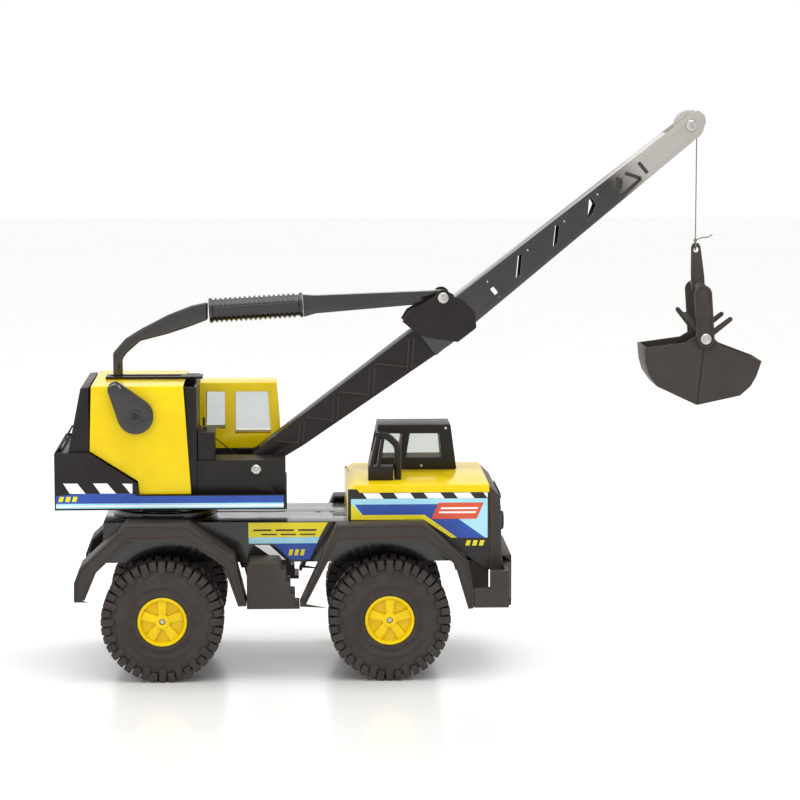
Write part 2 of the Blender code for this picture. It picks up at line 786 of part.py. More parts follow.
def counterweight(turret):
    """The hollow moulding that closes the cover's back and fills the rear of the tray, and its hoop."""
    floor = SHEET + GAP
    back = TRAY_REAR + SHEET + GAP
    front = COVER_REAR - GAP
    outline = [
        (back, floor),
        (front - 0.004, floor),
        (front - 0.004, TRAY_BACK - 0.006),
        (front, TRAY_BACK - 0.002),
        (front, COVER_HEIGHT - 0.001),
        (front - 0.008, COVER_HEIGHT - 0.002),
        (front - 0.0205, TRAY_BACK),
        (back, TRAY_BACK - 0.004),
    ]
    hollow = [
        (back + WALL, floor - 0.01),
        (front - 0.004 - WALL, floor - 0.01),
        (front - 0.004 - WALL, COVER_HEIGHT - 0.0045),
        (front - 0.0075, COVER_HEIGHT - 0.0045),
        (front - 0.0195, TRAY_BACK - WALL - 0.001),
        (back + WALL, TRAY_BACK - WALL - 0.004),
    ]
    half = COVER_HALF_WIDTH - SHEET - GAP
    made, inside = shell("counterweight", outline, half, hollow, half - WALL)
    link(made, turret, BLACK)
    cut(made, inside)
    start = front - 0.0205 + 0.0012
    loop = []
    for sign in (-1, 1):
        side = [
            (start, sign * 0.052, TRAY_BACK + 0.0135),
            (start - 0.0065, sign * 0.052, TRAY_BACK + 0.0095),
            (start - 0.0100, sign * 0.052, TRAY_BACK + 0.003),
            (start - 0.0108, sign * 0.050, TRAY_BACK - 0.001),
        ]
        loop += side if sign < 0 else side[::-1]
    hoop = tube("rear_hoop", loop, 0.0011, 2)
    link(hoop, turret, BLACK)


def bulkhead(turret):
    """Black panel between the engine cover and the cab, folded back behind the cover's sides."""
    floor = SHEET + GAP
    front = COVER_FRONT + 0.0125
    half = HOUSING_HALF_WIDTH
    plan = [
        (front - 0.016, -half),
        (front, -half),
        (front, half),
        (front - 0.016, half),
        (front - 0.016, half - WALL),
        (front - WALL, half - WALL),
        (front - WALL, -half + WALL),
        (front - 0.016, -half + WALL),
    ]
    made = flat("front_bulkhead", [plan], floor, COVER_HEIGHT - SHEET - GAP - 0.0008)
    link(made, turret, BLACK)
    hole = rod("line_hole", (front - 0.02, 0, LINE_HOLE_Z), (front + 0.01, 0, LINE_HOLE_Z), 0.0035)
    cut(made, hole)


def hollow_box(name, low, high, parent, material):
    """A thin-walled box, open below."""
    made = box(name, low, high)
    link(made, parent, material)
    inside = box(
        name + "_inside",
        (low[0] + WALL, low[1] + WALL, low[2] - 0.01),
        (high[0] - WALL, high[1] - WALL, high[2] - WALL),
    )
    return cut(made, inside)


def front_housing(turret):
    """Boom housing with its slot, the machinery box above it and the eye that leads the line."""
    floor = SHEET + GAP
    rear = COVER_FRONT + 0.0125 + GAP
    front = TRAY_FRONT - SHEET - GAP
    top = HOUSING_HEIGHT
    half = HOUSING_HALF_WIDTH
    slot = BOOM_SLOT
    made = box("boom_housing", (rear, -half, floor), (front, half, top))
    link(made, turret, BLACK)
    cutters = [
        box("housing_slot", (rear + 0.014, -slot, floor + WALL), (front + 0.01, slot, top + 0.01)),
    ]
    for sign in (-1, 1):
        near, far = sorted((sign * (slot + WALL), sign * (half - WALL)))
        cutters.append(
            box(
                "housing_inside",
                (rear + WALL, near, floor - 0.01),
                (front - WALL, far, top - WALL),
            ),
        )
    bore = rod("pivot_bore", (PIVOT_X, -0.1, PIVOT_Z), (PIVOT_X, 0.1, PIVOT_Z), PIN_RADIUS + RUN)
    cut(made, *cutters, bore)
    lid = top + GAP + MACHINERY_HEIGHT
    machinery = hollow_box(
        "machinery_box",
        (rear + 0.0005, -half, top + GAP),
        (MACHINERY_FRONT, -BOOM_SLOT, lid),
        turret,
        BLACK,
    )
    peg = box(
        "machinery_peg",
        (MACHINERY_FRONT - 0.0115, -0.050, lid - 0.001),
        (MACHINERY_FRONT - 0.008, -0.046, lid + 0.004),
    )
    join(machinery, peg)
    pin = pinned("boom_pivot_pin", PIN_RADIUS, half + GAP, 0.0052, 0.0018, (PIVOT_X, 0, PIVOT_Z))
    link(pin, turret, STEEL)


def operator_cab(turret):
    """Yellow cab beside the boom, with four window openings and a window insert."""
    low = HOUSING_HEIGHT + GAP
    top = low + OPERATOR_CAB_HEIGHT
    rear = COVER_FRONT + 0.0125 + GAP
    front = PIVOT_X + 0.024
    near, far = BOOM_SLOT + 0.0025, COVER_HALF_WIDTH - 0.002
    outline = [
        (rear, low),
        (front - 0.027, low),
        (front, low + 0.0135),
        (front - 0.004, top),
        (rear, top),
    ]
    wall = SHEET
    inner = [
        (rear + wall, low - 0.01),
        (front - 0.0275, low - 0.01),
        (front - 0.0275, low + wall),
        (front - wall, low + 0.0135 + wall / 2),
        (front - 0.004 - wall, top - wall),
        (rear + wall, top - wall),
    ]
    made = plate("operator_cab", [outline], near, far)
    link(made, turret, YELLOW)
    small = rectangle(rear + 0.0065, rear + 0.0255, low + 0.0195, top - 0.009)
    large = [
        (rear + 0.0355, low + 0.0145),
        (front - 0.010, low + 0.0145),
        (front - 0.0125, top - 0.009),
        (rear + 0.0355, top - 0.009),
    ]
    cut(
        made,
        plate("operator_inside", [inner], near + wall, far - wall),
        plate("operator_small_window", [small], near - 0.01, far + 0.01),
        plate("operator_large_window", [large], near - 0.01, far + 0.01),
        box(
            "operator_windscreen",
            (front - 0.012, near + 0.006, low + 0.019),
            (front + 0.01, far - 0.006, top - 0.009),
        ),
    )
    skin = 0.001
    inset = wall + GAP
    pane = [
        (rear + inset, low + 0.016),
        (front - 0.0035, low + 0.016),
        (front - 0.004 - inset * 1.2, top - inset),
        (rear + inset, top - inset),
    ]
    pane_inner = [
        (rear + inset + skin, low),
        (front - 0.0035 - skin, low),
        (front - 0.004 - inset * 1.2 - skin, top - inset - skin),
        (rear + inset + skin, top - inset - skin),
    ]
    glass = plate("operator_cab_glass", [pane], near + inset, far - inset)
    link(glass, turret, GLASS)
    cut(glass, plate("operator_glass_inside", [pane_inner], near + inset + skin, far - inset - skin))


# Winch
def winch(spin):
    """Drum with flanges on a shaft through the cover, and the teardrop crank on its near end."""
    side = COVER_HALF_WIDTH
    shaft = 0.0035
    half = 0.016
    profile = [
        (0, side + 0.003),
        (shaft, side + 0.003),
        (shaft, half + 0.002),
        (DRUM_RADIUS + 0.004, half + 0.002),
        (DRUM_RADIUS + 0.004, half),
        (DRUM_RADIUS, half),
        (DRUM_RADIUS, -half),
        (DRUM_RADIUS + 0.004, -half),
        (DRUM_RADIUS + 0.004, -half - 0.002),
        (shaft, -half - 0.002),
        (shaft, -side - 0.0015),
        (0, -side - 0.0015),
    ]
    link(turned("winch_drum", profile, (0, 0, 0), 20), spin, STEEL)
    turn = math.radians(126)
    knob = (CRANK_THROW * math.cos(turn), CRANK_THROW * math.sin(turn))
    degrees = math.degrees(turn)
    outline = arc(0, 0, 0.0175, degrees + 75, degrees + 285, 14)
    outline += arc(*knob, 0.0075, degrees - 75, degrees + 75, 8)
    near = -side - 0.0015 - GAP
    arm = plate("crank_handle", [outline], near, near - 0.006)
    link(arm, spin, BLACK)
    knob_post = rod(
        "crank_knob",
        (knob[0], near - 0.003, knob[1]),
        (knob[0], near - 0.022, knob[1]),
        0.0063,
        16,
    )
    socket = rod("crank_socket", (0, near - 0.008, 0), (0, near - 0.003, 0), 0.0045, 12)
    join(arm, knob_post)
    cut(arm, socket)


# Boom
def lower_boom(boom):
    """Black moulded channel, open below, that widens from the foot."""
    end = LOWER_BOOM_LENGTH
    outline = arc(0, 0, 0.010, 150, 290, 6)
    outline += [
        (0.048, BOOM_BOTTOM + 0.0095),
        (end - 0.012, BOOM_BOTTOM),
        (end, BOOM_BOTTOM),
        (end, BOOM_TOP - 0.0018),
    ]
    outline += [
        (end - 0.030, BOOM_TOP - 0.0018),
        (end - 0.034, BOOM_TOP),
        (0.0125, BOOM_TOP),
        (0.003, 0.0092),
    ]
    inner = [
        (-0.03, -0.05),
        (end + 0.02, -0.05),
        (end + 0.02, BOOM_TOP - 0.004),
        (0.011, BOOM_TOP - 0.0022),
        (0.011, 0.03),
        (-0.03, 0.03),
    ]
    made, inside = shell("lower_boom", outline, LOWER_HALF_WIDTH, inner, LOWER_HALF_WIDTH - WALL)
    link(made, boom, BLACK)
    bore = rod("foot_bore", (0, -0.03, 0), (0, 0.03, 0), PIN_RADIUS + RUN)
    ties = [
        box(
            f"boom_tie_{n}",
            (x, -LOWER_HALF_WIDTH + 0.001, -0.0130),
            (x + 0.004, LOWER_HALF_WIDTH - 0.001, -0.0100),
        )
        for n, x in enumerate((0.075, 0.135, 0.195))
    ]
    cut(made, inside, bore)
    join(made, *ties)


def upper_boom(boom):
    """Glossy steel channel, open below, tapering to the two cheeks that hold the sheave."""
    start = LOWER_BOOM_LENGTH - 0.028
    tip = BOOM_LENGTH

    def under(x):
        return BOOM_BOTTOM + (x - start) * 0.0135 / (tip - start)

    def over(x):
        return BOOM_TOP + (x - start) * 0.0023 / (tip - start)

    top_end = tip - SHEAVE_RADIUS - 0.009
    outline = [
        (start, under(start)),
        (tip - 0.007, under(tip - 0.007)),
        (tip + 0.004, TIP_PIN_UP - 0.0113),
    ]
    outline += [
        (tip + 0.0135, TIP_PIN_UP - 0.0063),
        (tip + 0.0165, TIP_PIN_UP),
        (tip + 0.0145, TIP_PIN_UP + 0.0077),
    ]
    outline += [(tip + 0.008, over(tip)), (start, over(start))]
    skin = 0.0012
    inner = [
        (start - 0.02, -0.05),
        (tip + 0.04, -0.05),
        (tip + 0.04, 0.05),
        (top_end, 0.05),
        (top_end, over(top_end) - skin),
        (start - 0.02, over(start) - skin),
    ]
    made, inside = shell("upper_boom", outline, BOOM_HALF_WIDTH, inner, BOOM_HALF_WIDTH - skin)
    link(made, boom, GLOSS)
    bore = rod("tip_bore", (tip, -0.03, TIP_PIN_UP), (tip, 0.03, TIP_PIN_UP), PIN_RADIUS + RUN)
    cut(made, inside, bore)


def strut_bracket(boom):
    """U-shaped bracket round the joint of the two booms; its lobes stand up to hold the strut."""
    pin = (STRUT_PIN_ALONG, STRUT_PIN_UP)
    bottom = BOOM_BOTTOM - WALL - GAP
    outline = [(pin[0] - 0.042, pin[1] - 0.0128), (pin[0] - 0.037, pin[1] - 0.0208)]
    outline += [(pin[0] - 0.028, pin[1] - 0.0303), (pin[0] - 0.015, bottom), (pin[0] + 0.008, bottom)]
    outline += [(pin[0] + 0.016, pin[1] - 0.0313), (pin[0] + 0.014, pin[1] - 0.0153)]
    outline += arc(*pin, 0.0083, -20, 130, 8)
    outline += [(pin[0] - 0.036, pin[1] + 0.010), (pin[0] - 0.046, pin[1] + 0.006)]
    half = BOOM_HALF_WIDTH + GAP + WALL
    inner = rectangle(pin[0] - 0.08, pin[0] + 0.08, BOOM_BOTTOM - GAP, 0.06)
    made, inside = shell("strut_bracket", outline, half, inner, BOOM_HALF_WIDTH + GAP)
    link(made, boom, BLACK)
    bore = rod("strut_bore", (pin[0], -0.04, pin[1]), (pin[0], 0.04, pin[1]), PIN_RADIUS + RUN)
    cut(made, inside, bore)
    link(pinned("strut_pin", PIN_RADIUS, half + GAP, 0.0055, 0.0016, (pin[0], 0, pin[1])), boom, STEEL)
    tip = (BOOM_LENGTH, 0, TIP_PIN_UP)
    link(pinned("tip_pin", PIN_RADIUS, BOOM_HALF_WIDTH + GAP, 0.0056, 0.0016, tip), boom, STEEL)


def sheave(spin):
    half = 0.005
    bore = PIN_RADIUS + RUN
    profile = [
        (bore, half),
        (SHEAVE_RADIUS, half),
        (SHEAVE_RADIUS, half - 0.0015),
        (SHEAVE_GROOVE, 0.001),
        (SHEAVE_GROOVE, -0.001),
        (SHEAVE_RADIUS, -half + 0.0015),
        (SHEAVE_RADIUS, -half),
        (bore, -half),
    ]
    link(turned("tip_sheave", profile, (0, 0, 0), 24, True), spin, SILVER)


# Strut: from its foot in the roof slot to the pin on the boom
def strut(swing, foot):
    """The handle. Its rear arm rises from the foot; grip and front arm run straight to the pin."""
    x, z = foot
    half = LEG_WIDTH / 2
    knee = (x + 0.0893, z + 0.0753)
    outer = [
        (-half, 0),
        (-half, 0.034),
        (0.0075, 0.048),
        (0.0225, 0.0574),
        (0.0495, 0.0714),
        (0.073, 0.0807),
        (0.0893, 0.084),
    ]
    inner = [
        (0.0893, 0.0666),
        (0.0706, 0.0596),
        (0.0495, 0.0526),
        (0.0225, 0.0457),
        (half + 0.0045, 0.034),
        (half, 0.028),
        (half, 0),
    ]
    made = plate("strut_rear_arm", [[(x + dx, z + dz) for dx, dz in outer + inner]], -half, half)
    link(made, swing, GLOSS)
    run = Vector((-knee[0], 0, -knee[1]))
    line = frame("strut_line", swing, (knee[0], 0, knee[1]), math.atan2(run.z, run.x))
    start = 0.0012
    link(
        rod("strut_grip", (start, 0, 0), (start + GRIP_LENGTH + 0.003, 0, 0), GRIP_RADIUS, 20),
        line,
        BLACK,
    )
    begin = start + GRIP_LENGTH + 0.003 + GAP
    end = run.length
    outline = [(begin, -0.0115), (begin + 0.012, -0.0088), (end - 0.012, -0.0058)]
    outline += arc(end, 0, 0.0068, -90, 90, 8)
    outline += [(end - 0.012, 0.0065), (begin + 0.012, 0.0090), (begin, 0.0105)]
    bore = circle(end, 0, PIN_RADIUS + RUN)
    arm = plate("strut_front_arm", [outline, bore], -0.006, 0.006)
    link(arm, line, GLOSS)


# Hoist line and bucket
def lines(turret, boom, drop):
    """The line in three straight runs: drum to boom foot, along the boom, and the free fall."""
    entry = LINE_ENTRY
    cosine, sine = math.cos(BOOM_ANGLE), math.sin(BOOM_ANGLE)
    foot_x = PIVOT_X + entry[0] * cosine - entry[1] * sine
    foot_z = PIVOT_Z + entry[0] * sine + entry[1] * cosine
    route = [
        (WINCH_X, 0, WINCH_Z - DRUM_RADIUS - LINE_RADIUS - GAP),
        (COVER_FRONT + 0.0125, 0, LINE_HOLE_Z),
        (PIVOT_X - 0.012, 0, PIVOT_Z - 0.0005),
        (PIVOT_X - 0.003, 0, foot_z - 0.001),
        (foot_x, 0, foot_z),
    ]
    link(tube("hoist_line_lead", route, LINE_RADIUS), turret, CORD)
    reach = SHEAVE_GROOVE + LINE_RADIUS + GAP
    run = [(entry[0] + 0.001, 0, entry[1]), (BOOM_LENGTH - 0.004, 0, TIP_PIN_UP + reach)]
    link(tube("hoist_line_run", run, LINE_RADIUS), boom, CORD)
    steps = 8
    fall = [(reach, 0, -0.0005 - (LINE_DROP - 0.0025) * step / steps) for step in range(steps + 1)]
    link(tube("hoist_line", fall, LINE_RADIUS), drop, CORD)


def knot(end):
    """The knot that ties the line to the bucket's bow, with its short tail."""
    bpy.ops.mesh.primitive_ico_sphere_add(subdivisions=2, radius=0.0020)
    made = bpy.context.active_object
    bpy.context.collection.objects.unlink(made)
    made.name = "line_knot"
    link(made, end, CORD)
    join(
        made,
        tube(
            "knot_tail",
            [(0, 0, 0), (0.006, 0, 0.0025), (0.0125, 0.001, 0.003), (0.017, 0.002, 0.0055)],
            LINE_RADIUS,
        ),
    )


def hanger(swing):
    """Bow and cross bar, with an arm down each side of the jaws and the pin through their ends."""
    drop = HANGER_DROP
    arm_y = BUCKET_HALF_WIDTH + GAP
    bar_z = -drop + 0.0505
    bow_half = 0.0045
    made = plate(
        "bucket_hanger",
        [
            [
                (-0.0065, bar_z - 0.004),
                (0.0065, bar_z - 0.004),
                (0.0065, bar_z + 0.010),
                (bow_half, -HANGER_HEAD + 0.004),
                (0.0028, -0.0030),
                (-0.0028, -0.0030),
                (-bow_half, -HANGER_HEAD + 0.004),
                (-0.0065, bar_z + 0.010),
            ],
            circle(0, -HANGER_HEAD + 0.001, 0.0028, 10),
        ],
        -0.0025,
        0.0025,
    )
    link(made, swing, BLACK)
    bar = rod("hanger_bar", (0, -arm_y - 0.0005, bar_z), (0, arm_y + 0.0005, bar_z), 0.0042, 12)
    join(made, bar)
    half = ARM_WIDTH / 2
    for side, sign in (("right", -1), ("left", 1)):
        outline = arc(0, -drop, half, 180, 360, 10) + arc(0, -drop + 0.0445, half, 0, 180, 10)
        arm = plate(
            f"bucket_arm_{side}",
            [outline, circle(0, -drop, PIN_RADIUS + RUN)],
            sign * (arm_y + 0.0008),
            sign * (arm_y + 0.0048),
        )
        link(arm, swing, BLACK)
    link(
        pinned("bucket_pin", PIN_RADIUS, arm_y + 0.0048 + GAP, 0.0055, 0.0016, (0, 0, -drop)),
        swing,
        STEEL,
    )


def jaw(name, body, sign, lug_y):
    """Half of the clamshell: cheeks and a curved wall, open above and towards the other half."""
    reach, depth = JAW_REACH, JAW_DEPTH
    seam = 0.0004
    outer = [
        (seam, -depth),
        (reach * 0.71, -depth + 0.014),
        (reach * 0.87, -depth + 0.0245),
        (reach * 0.945, -depth + 0.035),
        (reach, -0.0161),
        (0.009, -0.0035),
        (seam, -0.009),
    ]
    wall = 0.0022
    inner = [
        (-0.02, -depth + wall * 1.2),
        (seam, -depth + wall * 1.05),
        (reach * 0.70, -depth + 0.014 + wall),
        (reach * 0.85, -depth + 0.026 + wall),
        (reach * 0.945 - wall, -depth + 0.0355),
        (reach - wall, -0.0155),
        (reach - wall, 0.02),
        (-0.02, 0.02),
    ]

    def flip(points):
        return [(sign * x, z) for x, z in points]

    half = BUCKET_HALF_WIDTH
    made, inside = shell(name, flip(outer), half, flip(inner), half - wall)
    link(made, body, BLACK)
    cut(made, inside)
    joggled = lug_y + wall < half - 0.001
    if joggled:
        cut(made, rod(f"{name}_relief", (0, -half - 0.01, 0), (0, half + 0.01, 0), 0.0088, 24))
    lever = [(0.0055, 0.0010), (0.0246, 0.0206), (0.0244, 0.0236), (0.0214, 0.0239), (0.0010, 0.0050)]
    for cheek in (-1, 1):
        near, far = cheek * lug_y, cheek * (lug_y + wall - 0.0002)
        eye = arc(0, 0, 0.0078, 60, 300, 10)
        lug = plate(
            f"{name}_lug",
            [
                flip(eye + [(0.016, -0.011), (0.020, -0.0075), (0.009, 0.001)]),
                circle(0, 0, PIN_RADIUS + RUN),
            ],
            near,
            far,
        )
        paddle = plate(f"{name}_paddle", [flip(lever)], near, far)
        join(made, lug, paddle)
        if joggled:
            link_plate = plate(
                f"{name}_joggle",
                [flip([(0.0105, -0.010), (0.0185, -0.0115), (0.0185, -0.0065), (0.0105, -0.0045)])],
                near,
                cheek * (half - 0.0005),
            )
            join(made, link_plate)
    return made


def build():
    for old in list(bpy.data.objects):
        bpy.data.objects.remove(old)
    bpy.context.scene.collection.children.link(MAIN)
    bpy.context.scene.collection.children.link(CUTTERS)
    truck = frame("truck", None, TRUCK)
    axles(truck)
    wheels(truck)
    chassis(truck)
    side_mouldings(truck)
    front_body(truck)
    truck_cab(truck)
    air_intake(truck)
    turret = frame("turret", truck, (0, 0, TRAY_Z))
    tray(turret)
    engine_cover(turret)
    counterweight(turret)
    bulkhead(turret)
    front_housing(turret)
    operator_cab(turret)
    winch(frame("winch", turret, (WINCH_X, 0, WINCH_Z)))
    boom = frame("boom", turret, (PIVOT_X, 0, PIVOT_Z), BOOM_ANGLE)
    lower_boom(boom)
    upper_boom(boom)
    strut_bracket(boom)
    sheave(frame("sheave", boom, (BOOM_LENGTH, 0, TIP_PIN_UP)))
    swivel = frame("strut", boom, (STRUT_PIN_ALONG, 0, STRUT_PIN_UP), -BOOM_ANGLE)
    bpy.context.view_layer.update()
    foot = turret.matrix_world @ Vector(
        (FOOT_X, 0, COVER_HEIGHT - 0.0084),
    ) - swivel.matrix_world.translation
    strut(swivel, (foot.x, foot.z))
    drop = frame("drop", boom, (BOOM_LENGTH, 0, TIP_PIN_UP), -BOOM_ANGLE)
    lines(turret, boom, drop)
    end = frame("line_end", drop, (SHEAVE_GROOVE + LINE_RADIUS + GAP, 0, -LINE_DROP))
    knot(end)
    swing = frame("swing", end, (0, 0, 0), BUCKET_LEAN)
    hanger(swing)
    pivot = frame("jaw_pivot", swing, (0, 0, -HANGER_DROP), -BUCKET_LEAN - JAWS_TILT)
    jaw("jaw_rear", pivot, -1, BUCKET_HALF_WIDTH - 0.0047)
    jaw("jaw_front", pivot, 1, BUCKET_HALF_WIDTH - 0.0022)
    for made in MAIN.objects:
        if made.type == "MESH":
            made.data.shade_smooth()
            made.data.set_sharp_from_angle(angle=math.radians(35))


build()
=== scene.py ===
"""A toy crane truck in pressed steel and moulded plastic, in the order of its assembly."""

import math

import bpy
from mathutils import Matrix, Vector
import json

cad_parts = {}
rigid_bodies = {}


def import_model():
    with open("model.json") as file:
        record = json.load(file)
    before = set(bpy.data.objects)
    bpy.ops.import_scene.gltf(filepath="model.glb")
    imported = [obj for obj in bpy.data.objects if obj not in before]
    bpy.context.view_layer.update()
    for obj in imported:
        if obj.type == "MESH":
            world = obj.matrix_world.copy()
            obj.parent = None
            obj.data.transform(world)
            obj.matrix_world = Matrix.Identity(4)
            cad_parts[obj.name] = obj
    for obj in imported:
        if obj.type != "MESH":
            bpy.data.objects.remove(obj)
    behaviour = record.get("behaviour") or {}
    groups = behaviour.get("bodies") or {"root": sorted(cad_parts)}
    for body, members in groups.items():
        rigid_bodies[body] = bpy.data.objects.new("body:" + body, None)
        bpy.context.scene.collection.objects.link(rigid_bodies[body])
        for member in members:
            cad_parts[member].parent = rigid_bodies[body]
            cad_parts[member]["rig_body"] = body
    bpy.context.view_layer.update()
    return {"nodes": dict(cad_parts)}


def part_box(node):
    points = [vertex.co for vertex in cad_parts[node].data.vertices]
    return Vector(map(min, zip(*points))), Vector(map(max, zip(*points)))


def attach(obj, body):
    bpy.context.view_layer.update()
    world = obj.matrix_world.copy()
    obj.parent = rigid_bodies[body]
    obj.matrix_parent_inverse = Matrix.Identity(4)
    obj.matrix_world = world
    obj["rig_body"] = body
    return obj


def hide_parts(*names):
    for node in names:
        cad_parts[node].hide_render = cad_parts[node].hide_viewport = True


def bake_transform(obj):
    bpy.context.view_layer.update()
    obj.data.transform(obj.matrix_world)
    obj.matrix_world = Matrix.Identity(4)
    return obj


bpy.ops.object.select_all(action="SELECT")
bpy.ops.object.delete()
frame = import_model()
nodes = frame["nodes"]


# ---------------------------------------------------------------- axles and their brackets
# Two turned steel axles, bright zinc plated, run across the truck. Each is held by a bracket
# folded from black enamelled sheet and riveted under the deck.
def colour(value):
    """The linear colour of an sRGB hex value such as "f2d500"."""
    parts = [int(value[i : i + 2], 16) / 255 for i in (0, 2, 4)]
    return [*(c / 12.92 if c <= 0.04045 else ((c + 0.055) / 1.055) ** 2.4 for c in parts), 1]


def node(tree, kind, settings=(), links=()):
    """A new node with its settings (attributes, or sockets by name or number) and its links."""
    made = tree.nodes.new(kind)
    for name, value in dict(settings).items():
        if isinstance(name, str) and hasattr(made, name):
            setattr(made, name, value)
        else:
            made.inputs[name].default_value = value
    for name, socket in dict(links).items():
        tree.links.new(socket, made.inputs[name])
    return made


def finish(name, dark, light, patch_mm, grain_mm, bump_mm, rough, settings=()):
    """A finish that drifts between two tints over patch_mm, with a surface grain of grain_mm."""
    made = bpy.data.materials.new(name)
    made.use_nodes = True
    tree = made.node_tree
    shader = tree.nodes["Principled BSDF"]
    place = node(tree, "ShaderNodeTexCoord")
    drift = node(
        tree,
        "ShaderNodeTexNoise",
        {"Scale": 1000 / patch_mm, "Detail": 3.0, "Roughness": 0.55},
        {"Vector": place.outputs["Object"]},
    )
    tints = node(tree, "ShaderNodeValToRGB", {}, {"Fac": drift.outputs["Fac"]})
    tints.color_ramp.elements[0].position, tints.color_ramp.elements[1].position = 0.35, 0.65
    tints.color_ramp.elements[0].color = colour(dark)
    tints.color_ramp.elements[1].color = colour(light)
    grain = node(
        tree,
        "ShaderNodeTexNoise",
        {"Scale": 1000 / grain_mm, "Detail": 2.0},
        {"Vector": place.outputs["Object"]},
    )
    relief = node(
        tree,
        "ShaderNodeBump",
        {"Strength": 1.0, "Distance": bump_mm / 1000},
        {"Height": grain.outputs["Fac"]},
    )
    gloss = node(
        tree,
        "ShaderNodeMapRange",
        {"From Min": 0.3, "From Max": 0.7, "To Min": rough[0], "To Max": rough[1]},
        {"Value": drift.outputs["Fac"]},
    )
    tree.links.new(tints.outputs["Color"], shader.inputs["Base Color"])
    tree.links.new(gloss.outputs["Result"], shader.inputs["Roughness"])
    tree.links.new(relief.outputs["Normal"], shader.inputs["Normal"])
    for socket, value in dict(settings).items():
        shader.inputs[socket].default_value = value
    return made


# Zinc plate on turned steel: bright, faintly brushed, with a soft grey cast.
plated_steel = finish(
    "zinc_plated_steel", "a9a8a4", "cfcdc8", 6, 0.5, 0.01, (0.22, 0.38), {"Metallic": 1.0}
)
# Stoved enamel on pressed steel: deep gloss black with the slight orange peel of a dipped coat.
black_enamel = finish(
    "black_stoved_enamel",
    "141211",
    "1d1a19",
    18,
    1.6,
    0.012,
    (0.16, 0.28),
    {"Coat Weight": 0.5, "Coat Roughness": 0.08, "IOR": 1.5},
)


def pick(obj):
    """Makes obj the only object selected, and the active one."""
    if bpy.context.mode != "OBJECT":
        bpy.ops.object.mode_set(mode="OBJECT")
    bpy.ops.object.select_all(action="DESELECT")
    obj.select_set(True)
    bpy.context.view_layer.objects.active = obj


def modify(obj, kind, **settings):
    """Adds a modifier with its settings and applies it."""
    pick(obj)
    made = obj.modifiers.new(kind.lower(), kind)
    for name, value in settings.items():
        setattr(made, name, value)
    bpy.ops.object.modifier_apply(modifier=made.name)


def dress(obj, material, body):
    """Gives a finished piece its one material, its body and its paint slot."""
    obj.data.materials.clear()
    obj.data.materials.append(material)
    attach(obj, body)
    return obj


def pressed(name, rounding_mm, material, edges=2, angle=30):
    """The named piece as one mesh, its sharp edges rounded as a press or a mould leaves them."""
    source = nodes[name]
    made = bpy.data.objects.new(name + "_made", source.data.copy())
    bpy.context.scene.collection.objects.link(made)
    pick(made)
    bpy.ops.mesh.customdata_custom_splitnormals_clear()
    bpy.ops.object.mode_set(mode="EDIT")
    bpy.ops.mesh.select_all(action="SELECT")
    bpy.ops.mesh.remove_doubles(threshold=0.00001)
    bpy.ops.mesh.dissolve_limited(angle_limit=math.radians(0.6))
    bpy.ops.object.mode_set(mode="OBJECT")
    modify(
        made,
        "BEVEL",
        width=rounding_mm / 1000,
        segments=edges,
        limit_method="ANGLE",
        angle_limit=math.radians(angle),
        harden_normals=False,
    )
    bpy.ops.object.shade_smooth_by_angle(angle=math.radians(32))
    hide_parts(name)
    return dress(made, material, source["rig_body"])


for place in ("rear", "front"):
    pressed(f"{place}_axle", 0.4, plated_steel)
    pressed(f"{place}_axle_bracket", 0.3, black_enamel)

# ---------------------------------------------------------------- deck
# One long folded sheet of black enamelled steel, open below, with two screw holes on top.
pressed("chassis_deck", 0.8, black_enamel, 3)

# ---------------------------------------------------------------- fenders
# Four wheel arches moulded in a warm dark grey plastic with a dull skin, pushed on to the deck's
# edges. Each has a lip moulded proud along its outer edge.
dark_plastic = finish(
    "moulded_dark_plastic",
    "39322e",
    "403934",
    30,
    0.7,
    0.04,
    (0.42, 0.54),
    {"IOR": 1.49, "Specular IOR Level": 0.3},
)


def faces_towards(obj, direction, beyond=None, least=0.98):
    """Selects in edit mode the faces that look that way, with middles beyond that distance."""
    pick(obj)
    way = Vector(direction)
    bpy.ops.object.mode_set(mode="EDIT")
    bpy.ops.mesh.select_mode(type="FACE")
    bpy.ops.mesh.select_all(action="DESELECT")
    bpy.ops.object.mode_set(mode="OBJECT")
    for face in obj.data.polygons:
        face.select = face.normal.dot(way) > least and (
            beyond is None or face.center.dot(way) > beyond
        )
    bpy.ops.object.mode_set(mode="EDIT")


fender_face = 0.1055
for place in ("rear", "front"):
    for side, way in (("right", -1), ("left", 1)):
        fender = pressed(f"{place}_fender_{side}", 1.0, dark_plastic)
        faces_towards(fender, (0, way, 0), fender_face)
        bpy.ops.mesh.inset(thickness=0.0018, depth=0.0)
        bpy.ops.mesh.inset(thickness=0.0005, depth=-0.0010)
        bpy.ops.object.mode_set(mode="OBJECT")
        bpy.ops.object.shade_smooth_by_angle(angle=math.radians(32))

# ---------------------------------------------------------------- side tanks and steps
# A box between the arches with its top corners rounded, and a flight of steps at its front end,
# moulded in one piece in the same dark plastic.
for side in ("right", "left"):
    pressed(f"side_tank_{side}", 1.4, dark_plastic, 3)


# ---------------------------------------------------------------- printed film on the deck
# A sheet of printed vinyl film stuck on each side of the deck, in flat yellow, pale blue, deep
# blue, white and black blocks, cut on a slant at its front end.
def printed(name, ink):
    """One ink on the film: flat, a little mottled by the screen, under a soft clear lacquer."""
    return finish(name, ink[0], ink[1], 30, 0.8, 0.001, (0.26, 0.34), {"IOR": 1.47})


